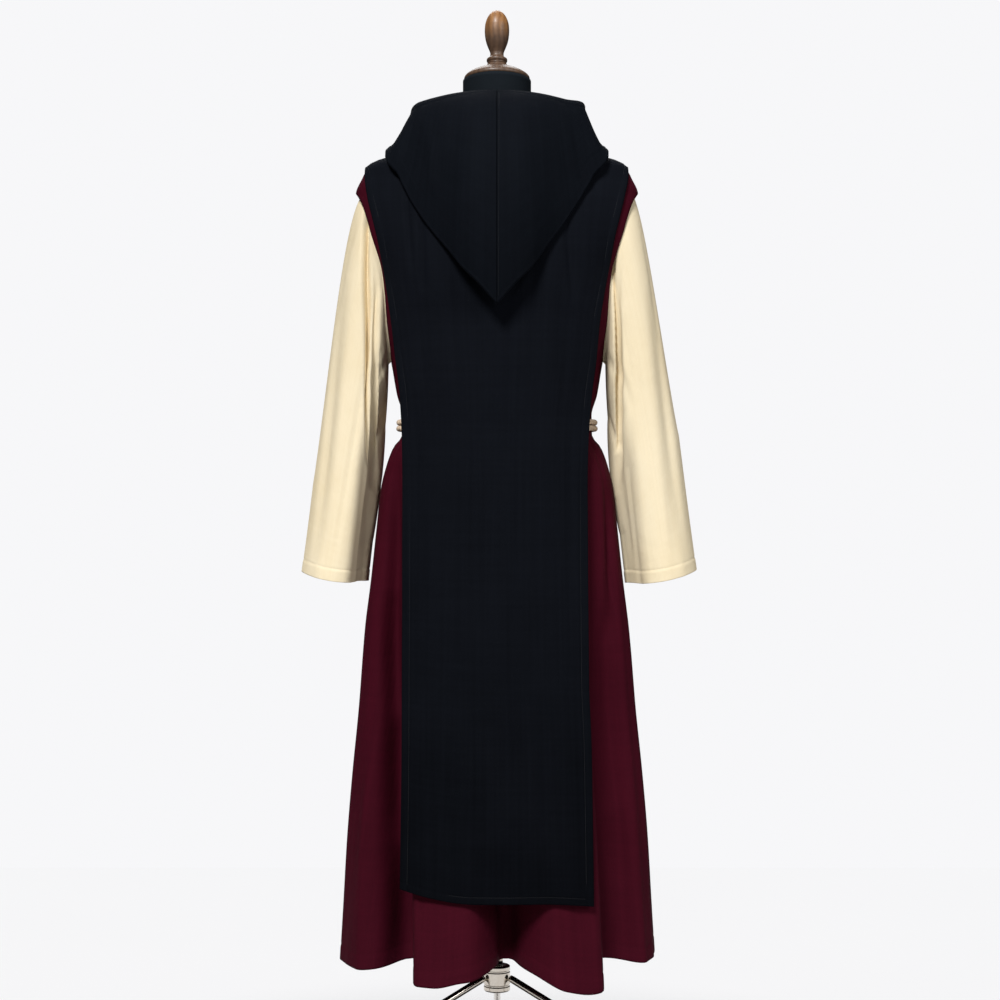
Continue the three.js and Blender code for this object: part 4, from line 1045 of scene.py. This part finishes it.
def hoodHalf(name, node, side):
    share = along((0, hood["inner"], 46), (hood["inner"], hood["turned"], 12), (hood["turned"], 1, 84))
    gap = shared["seam"] / 2 / hood["sections"]["faceR"][-1]
    bend = mix(-math.pi / 2 + gap, math.pi / 2 - gap, crowded(110, 0.5))
    bend = bend if side > 0 else bend[::-1]
    angle, down = np.meshgrid(bend if side > 0 else math.pi - bend, share)
    points = hoodSurface(angle, down)
    middle = [0, -1]
    points[:, middle, 0] = side * shared["seam"] / 2

    outer = down > hood["turned"]
    degrees = np.broadcast_to(np.degrees(bend), down.shape)
    amount = np.where(outer, creases(hood["creases"][side], degrees, down), 0)
    across = np.minimum(fromEdge(points, "left"), fromEdge(points, "right"))
    face = fromEdge(points, "top")
    amount = amount - np.where(outer, 1.2 * bump(across, 2.2) + 0.5 * bump(face - hood["faceFold"], 4), 0)
    points = pushed(points, amount)
    points[:, middle, 0] = side * shared["seam"] / 2
    obj = clothPiece(name, points, paints["hood"], "hood_cloth", node, folded=face < hood["faceFold"])
    lines = [insetLine(points, "top", hood["faceFold"])]
    if side < 0:
        # the seam's allowance is stitched down on this side
        back = insetLine(points, "left", hood["seamTopstitch"])
        shown = share > hood["turned"]
        lines.append((back[0][shown], back[1][shown]))
    return obj, lines


hoodLeft, hoodLinesLeft = hoodHalf("hoodLeft", "hood_left", 1)
hoodRight, hoodLinesRight = hoodHalf("hoodRight", "hood_right", -1)
stitching("hoodStitching", hoodLinesLeft + hoodLinesRight, paints["blackThread"], "hood_cloth")
print("hood made")

belt = {
    "reach": 6.4,  # from the tunic's middle to the rope's
    "rope": 5.25, "spacing": 10.9, "lay": 27, "strands": 3,
    "knotSize": (9.2, 3, 7.4),
    "knotRope": 0.82, "endRope": 0.94,  # how thick the rope is there, as a share
    "whipping": {"turns": 5, "wire": 0.7, "height": 7},
}
strandRadius = belt["rope"] / (1 + 2 / math.sqrt(3))


def strands(name, path, side, paint, slot, nodes=(), closed=False, rope=1.0):
    # Three strands laid round a path: each one's middle circles it once in every lay
    step = np.roll(path, -1, 0) - path if closed else np.gradient(path, axis=0)
    lengths = np.linalg.norm(step, axis=-1)
    run = np.cumsum(lengths) - lengths
    total = lengths.sum() if closed else run[-1]
    turns = max(1, round(total / belt["lay"] / rope))
    ahead = unit(step)
    across = unit(side - ahead * np.sum(side * ahead, -1, keepdims=True))
    other = np.cross(ahead, across)
    thick = strandRadius * rope
    parts = []
    for k in range(belt["strands"]):
        turn = (math.tau * (turns * run / total + k / belt["strands"]))[:, None]
        centre = path + thick * 2 / math.sqrt(3) * (across * np.cos(turn) + other * np.sin(turn))
        outside = across * np.cos(turn) + other * np.sin(turn)
        radius = np.full(len(path), thick * 1.06)
        if not closed:
            # the ends are closed to a small round point
            edge = np.minimum(run, run[-1] - run) / thick
            radius = radius * np.sqrt(np.clip(1 - (1 - np.clip(edge, 0, 1)) ** 2, 0.0001, 1))
        parts.append(tube(centre, outside, radius, 9, closed))
    return joined(name, parts, closed, paint, slot, nodes)


def joined(name, parts, looped, paint, slot, nodes):
    # Several tubes in one piece
    objs = [gridMesh(name, part, True, looped) for part in parts]
    shape = bmesh.new()
    for obj in objs:
        shape.from_mesh(obj.data)
        bpy.data.objects.remove(obj)
    mesh = bpy.data.meshes.new(name)
    if not looped:
        edges = [edge for edge in shape.edges if edge.is_boundary]
        bmesh.ops.holes_fill(shape, edges=edges)
    shape.to_mesh(mesh)
    shape.free()
    obj = bpy.data.objects.new(name, mesh)
    bpy.context.collection.objects.link(obj)
    return settled(obj, paint, slot, *nodes)


def waistPath(height, count):
    # Round the gathered waist, clear of the cloth
    angle = np.linspace(0, math.tau, count + 1)[:-1]
    level = np.full_like(angle, height)
    normal = outward(tunicSurface, angle, level) * (1, 1, 0)
    return tunicSurface(angle, level) + unit(normal) * belt["reach"], unit(normal)


for name, node, step in (("beltTurnUpper", "belt_turn_upper", 0.5),
                         ("beltTurnLower", "belt_turn_lower", -0.5)):
    path, side = waistPath(shared["waist"] + step * belt["spacing"], 420)
    strands(name, path, side, paints["rope"], "rope", [node], True)

knotBox = [np.array(corner) * 1000 - shared["axis"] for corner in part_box("belt_knot")]
knotMiddle = (knotBox[0] + knotBox[1]) / 2
sweep = np.linspace(0, math.tau, 181)[:-1]
loop = stack((np.sin(sweep) + 2 * np.sin(2 * sweep)) / 3, -np.sin(3 * sweep),
             (np.cos(sweep) - 2 * np.cos(2 * sweep)) / 3)
strands("beltKnot", knotMiddle + loop * belt["knotSize"], np.tile((0.0, 1.0, 0.3), (180, 1)),
        paints["rope"], "rope", ["belt_knot"], True, belt["knotRope"])

for name, node, side in (("beltEndLeft", "belt_end_left", 1), ("beltEndRight", "belt_end_right", -1)):
    low, high = [np.array(corner) * 1000 - shared["axis"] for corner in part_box(node)]
    middle = (low + high) / 2
    fall = np.linspace(0, 1, 60)
    path = stack(middle[0], middle[1], mix(high[2] - 0.4, low[2] + 0.4, fall))
    strands(name, path, np.tile((1.0, 0.0, 0.0), (60, 1)), paints["rope"], "rope", [node],
            rope=belt["endRope"])
    wrap = belt["whipping"]
    turn = np.linspace(0, math.tau * wrap["turns"], 20 * wrap["turns"])
    coilRadius = belt["rope"] * belt["endRope"] + 0.2
    coil = stack(middle[0] + coilRadius * np.cos(turn), middle[1] + coilRadius * np.sin(turn),
                 low[2] + wrap["height"] + turn * wrap["wire"] * 2 / math.tau)
    outside = stack(np.cos(turn), np.sin(turn), 0)
    joined(name + "Whipping", [tube(coil, outside, wrap["wire"], 6)], False, paints["rope"], "rope", [])
print("belt made")

form = {
    "rings": columns(
        "z side back front power",
        (852, 160, 96, 88, 2.2), (950, 172, 112, 98, 2.2), (1050, 162, 100, 96, 2.2),
        (1150, 152, 86, 90, 2.2), (1262, 165, 99, 106, 2.2), (1350, 177, 111, 118, 2.2),
        (1430, 188, 117, 121, 2.2), (1501, 205, 111, 113, 2.2), (1548, 214, 100, 101, 2.2),
        (1583, 216, 87, 90, 2.2), (1605, 214, 81, 83, 2.2),
    ),
    "shoulderRows": [1614, 1624, 1631, 1642, 1665, 1690],
    "under": 1.6, "inset": 3.6, "half": 212, "neckInset": 12,
    "neckRadius": 62, "neckRows": [1706, 1740],
    "bottomRound": 9,
    "cap": columns(
        "r h",
        (0, 0.4), (54, 0.4), (58, 0.5), (59.6, 2), (60, 4), (59.6, 6.4), (57.6, 9.4), (53, 13), (45.5, 17.4),
        (36, 21.6), (27, 25.4), (21, 28.4), (18.6, 30.6), (18, 32.6), (17, 33), (0, 33),
    ),
    "finial": columns(
        "r h",
        (0, 33.3), (16.6, 33.3), (17.4, 34), (16.9, 35.2), (17.4, 36.6), (18.7, 38.6), (18.9, 40.8),
        (18, 43), (15.4, 44.8), (13, 47), (12.2, 50), (12.2, 53), (13.6, 58), (16.5, 65), (19.6, 74),
        (21.6, 84), (22.4, 95), (21.9, 105), (20, 114), (16.8, 121.8), (12, 128.4), (6.6, 132.6), (0, 134),
    ),
}


def formTorso():
    # The smooth body inside the cloth: ovals up to the shoulders, then the tunic's own shape moved
    # in, then the round neck with its leaning top
    tables = [form["rings"][key] for key in ("z", "side", "back", "front", "power")]
    shoulders = np.array(form["shoulderRows"], float)
    rings = tunic["rings"]
    side, back, front, power = (read(rings, "z", shoulders + form["under"], key)
                                for key in ("side", "back", "front", "power"))
    side = np.minimum(side, form["half"]) - np.where(shoulders == shared["neckline"], form["neckInset"], 0)
    neck = np.array(form["neckRows"] + [shared["neckTop"]], float)
    round_ = np.full_like(neck, form["neckRadius"])
    body = {
        "z": np.concatenate([tables[0], shoulders, neck]),
        "side": np.concatenate([tables[1], side, round_]),
        "back": np.concatenate([tables[2], back - form["inset"], round_]),
        "front": np.concatenate([tables[3], front - form["inset"], round_]),
        "power": np.concatenate([tables[4], power, np.full_like(neck, 2)]),
    }
    corner = np.linspace(0, math.pi / 2, 8)
    bottom = tables[0][0]
    z = np.concatenate([
        [bottom] * 4, bottom + form["bottomRound"] * (1 - np.cos(corner)),
        np.linspace(bottom + form["bottomRound"], shared["neckTop"], 170)[1:], [shared["neckTop"]] * 4])
    inset = form["bottomRound"] / 160
    scale = np.concatenate([
        [0, 0.4, 0.8, 1 - inset], 1 - inset * (1 - np.sin(corner)), np.ones(169), [0.97, 0.8, 0.4, 0]])
    angle = np.linspace(0, math.tau, 121)[:-1]
    points = ringPoint(body, angle[None, :], z[:, None]) * stack(scale, scale, 1)[:, None]
    lean = eased((z - form["neckRows"][-1]) / (shared["neckTop"] - form["neckRows"][-1]))
    points[..., 2] += points[..., 1] * math.tan(shared["neckTilt"]) * lean[:, None]
    return settled(welded(gridMesh("formTorso", points, True)), paints["form"], "form_cloth", "form_torso")


formTorso()
top = (0, 0, shared["neckTop"])
leanAxis = (0, -math.sin(shared["neckTilt"]), math.cos(shared["neckTilt"]))
turning("turnedCap", form["cap"], 80, top, leanAxis, paints["wood"], "wood", "neck_cap", 90)
turning("turnedFinial", form["finial"], 56, top, leanAxis, paints["wood"], "wood", "finial", 130)
print("form made")

stand = {
    "pole": columns("r h", (0, 0), (9.6, 0), (11, 1.4), (11, 340), (11, 680), (9.6, 681.4), (0, 681.4)),
    "hub": columns(
        "r h",
        (0, 0), (20, 0), (22.5, 0.8), (24, 2.8), (24, 9), (23, 10), (23, 12), (24, 13), (24, 35), (23, 36),
        (23, 38), (24, 39), (24, 44.6), (22.6, 46.8), (19, 48), (0, 48),
    ),
    "hubBottom": 122, "poleBottom": 170.3,
    "legs": 3, "first": 30, "radius": 6.5, "reach": 340, "topHeight": 148, "hubGap": 2.9,
    "seat": 0.9, "back": 6, "hubRadius": 24,
    "foot": columns(
        "r h",
        (0, 0), (13.6, 0), (14.6, 0.6), (15, 2), (15, 5.6), (14.2, 8.2), (12.2, 9.6), (10, 10), (0, 10),
    ),
    "footHeight": 10,
}

turning("standPole", stand["pole"], 48, (0, 0, stand["poleBottom"]), (0, 0, 1), paints["metal"], "chrome",
        "stand_pole")
turning("standHub", stand["hub"], 64, (0, 0, stand["hubBottom"]), (0, 0, 1), paints["metal"], "chrome",
        "stand_hub", 140)
for i in range(stand["legs"]):
    angle = math.radians(stand["first"] + i * 360 / stand["legs"])
    out = np.array((math.cos(angle), math.sin(angle), 0))
    low = stand["footHeight"] + shared["seam"] + stand["seat"] * stand["radius"]
    start = out * (stand["reach"] - stand["back"]) + (0, 0, low)
    end = out * (stand["hubRadius"] + stand["hubGap"]) + (0, 0, stand["topHeight"])
    length, r = float(np.linalg.norm(end - start)), stand["radius"]
    profile = columns(
        "r h", (0, 0), (r - 1.6, 0), (r - 0.5, 0.6), (r, 1.8), (r, length / 2), (r, length - 1.8),
        (r - 0.5, length - 0.6), (r - 1.6, length), (0, length))
    turning(f"leg{i + 1}", profile, 32, start, end - start, paints["metal"], "chrome", f"leg_{i + 1}")
    turning(f"foot{i + 1}", stand["foot"], 40, out * stand["reach"], (0, 0, 1), paints["rubber"], "rubber",
            f"foot_{i + 1}")
print("stand made")
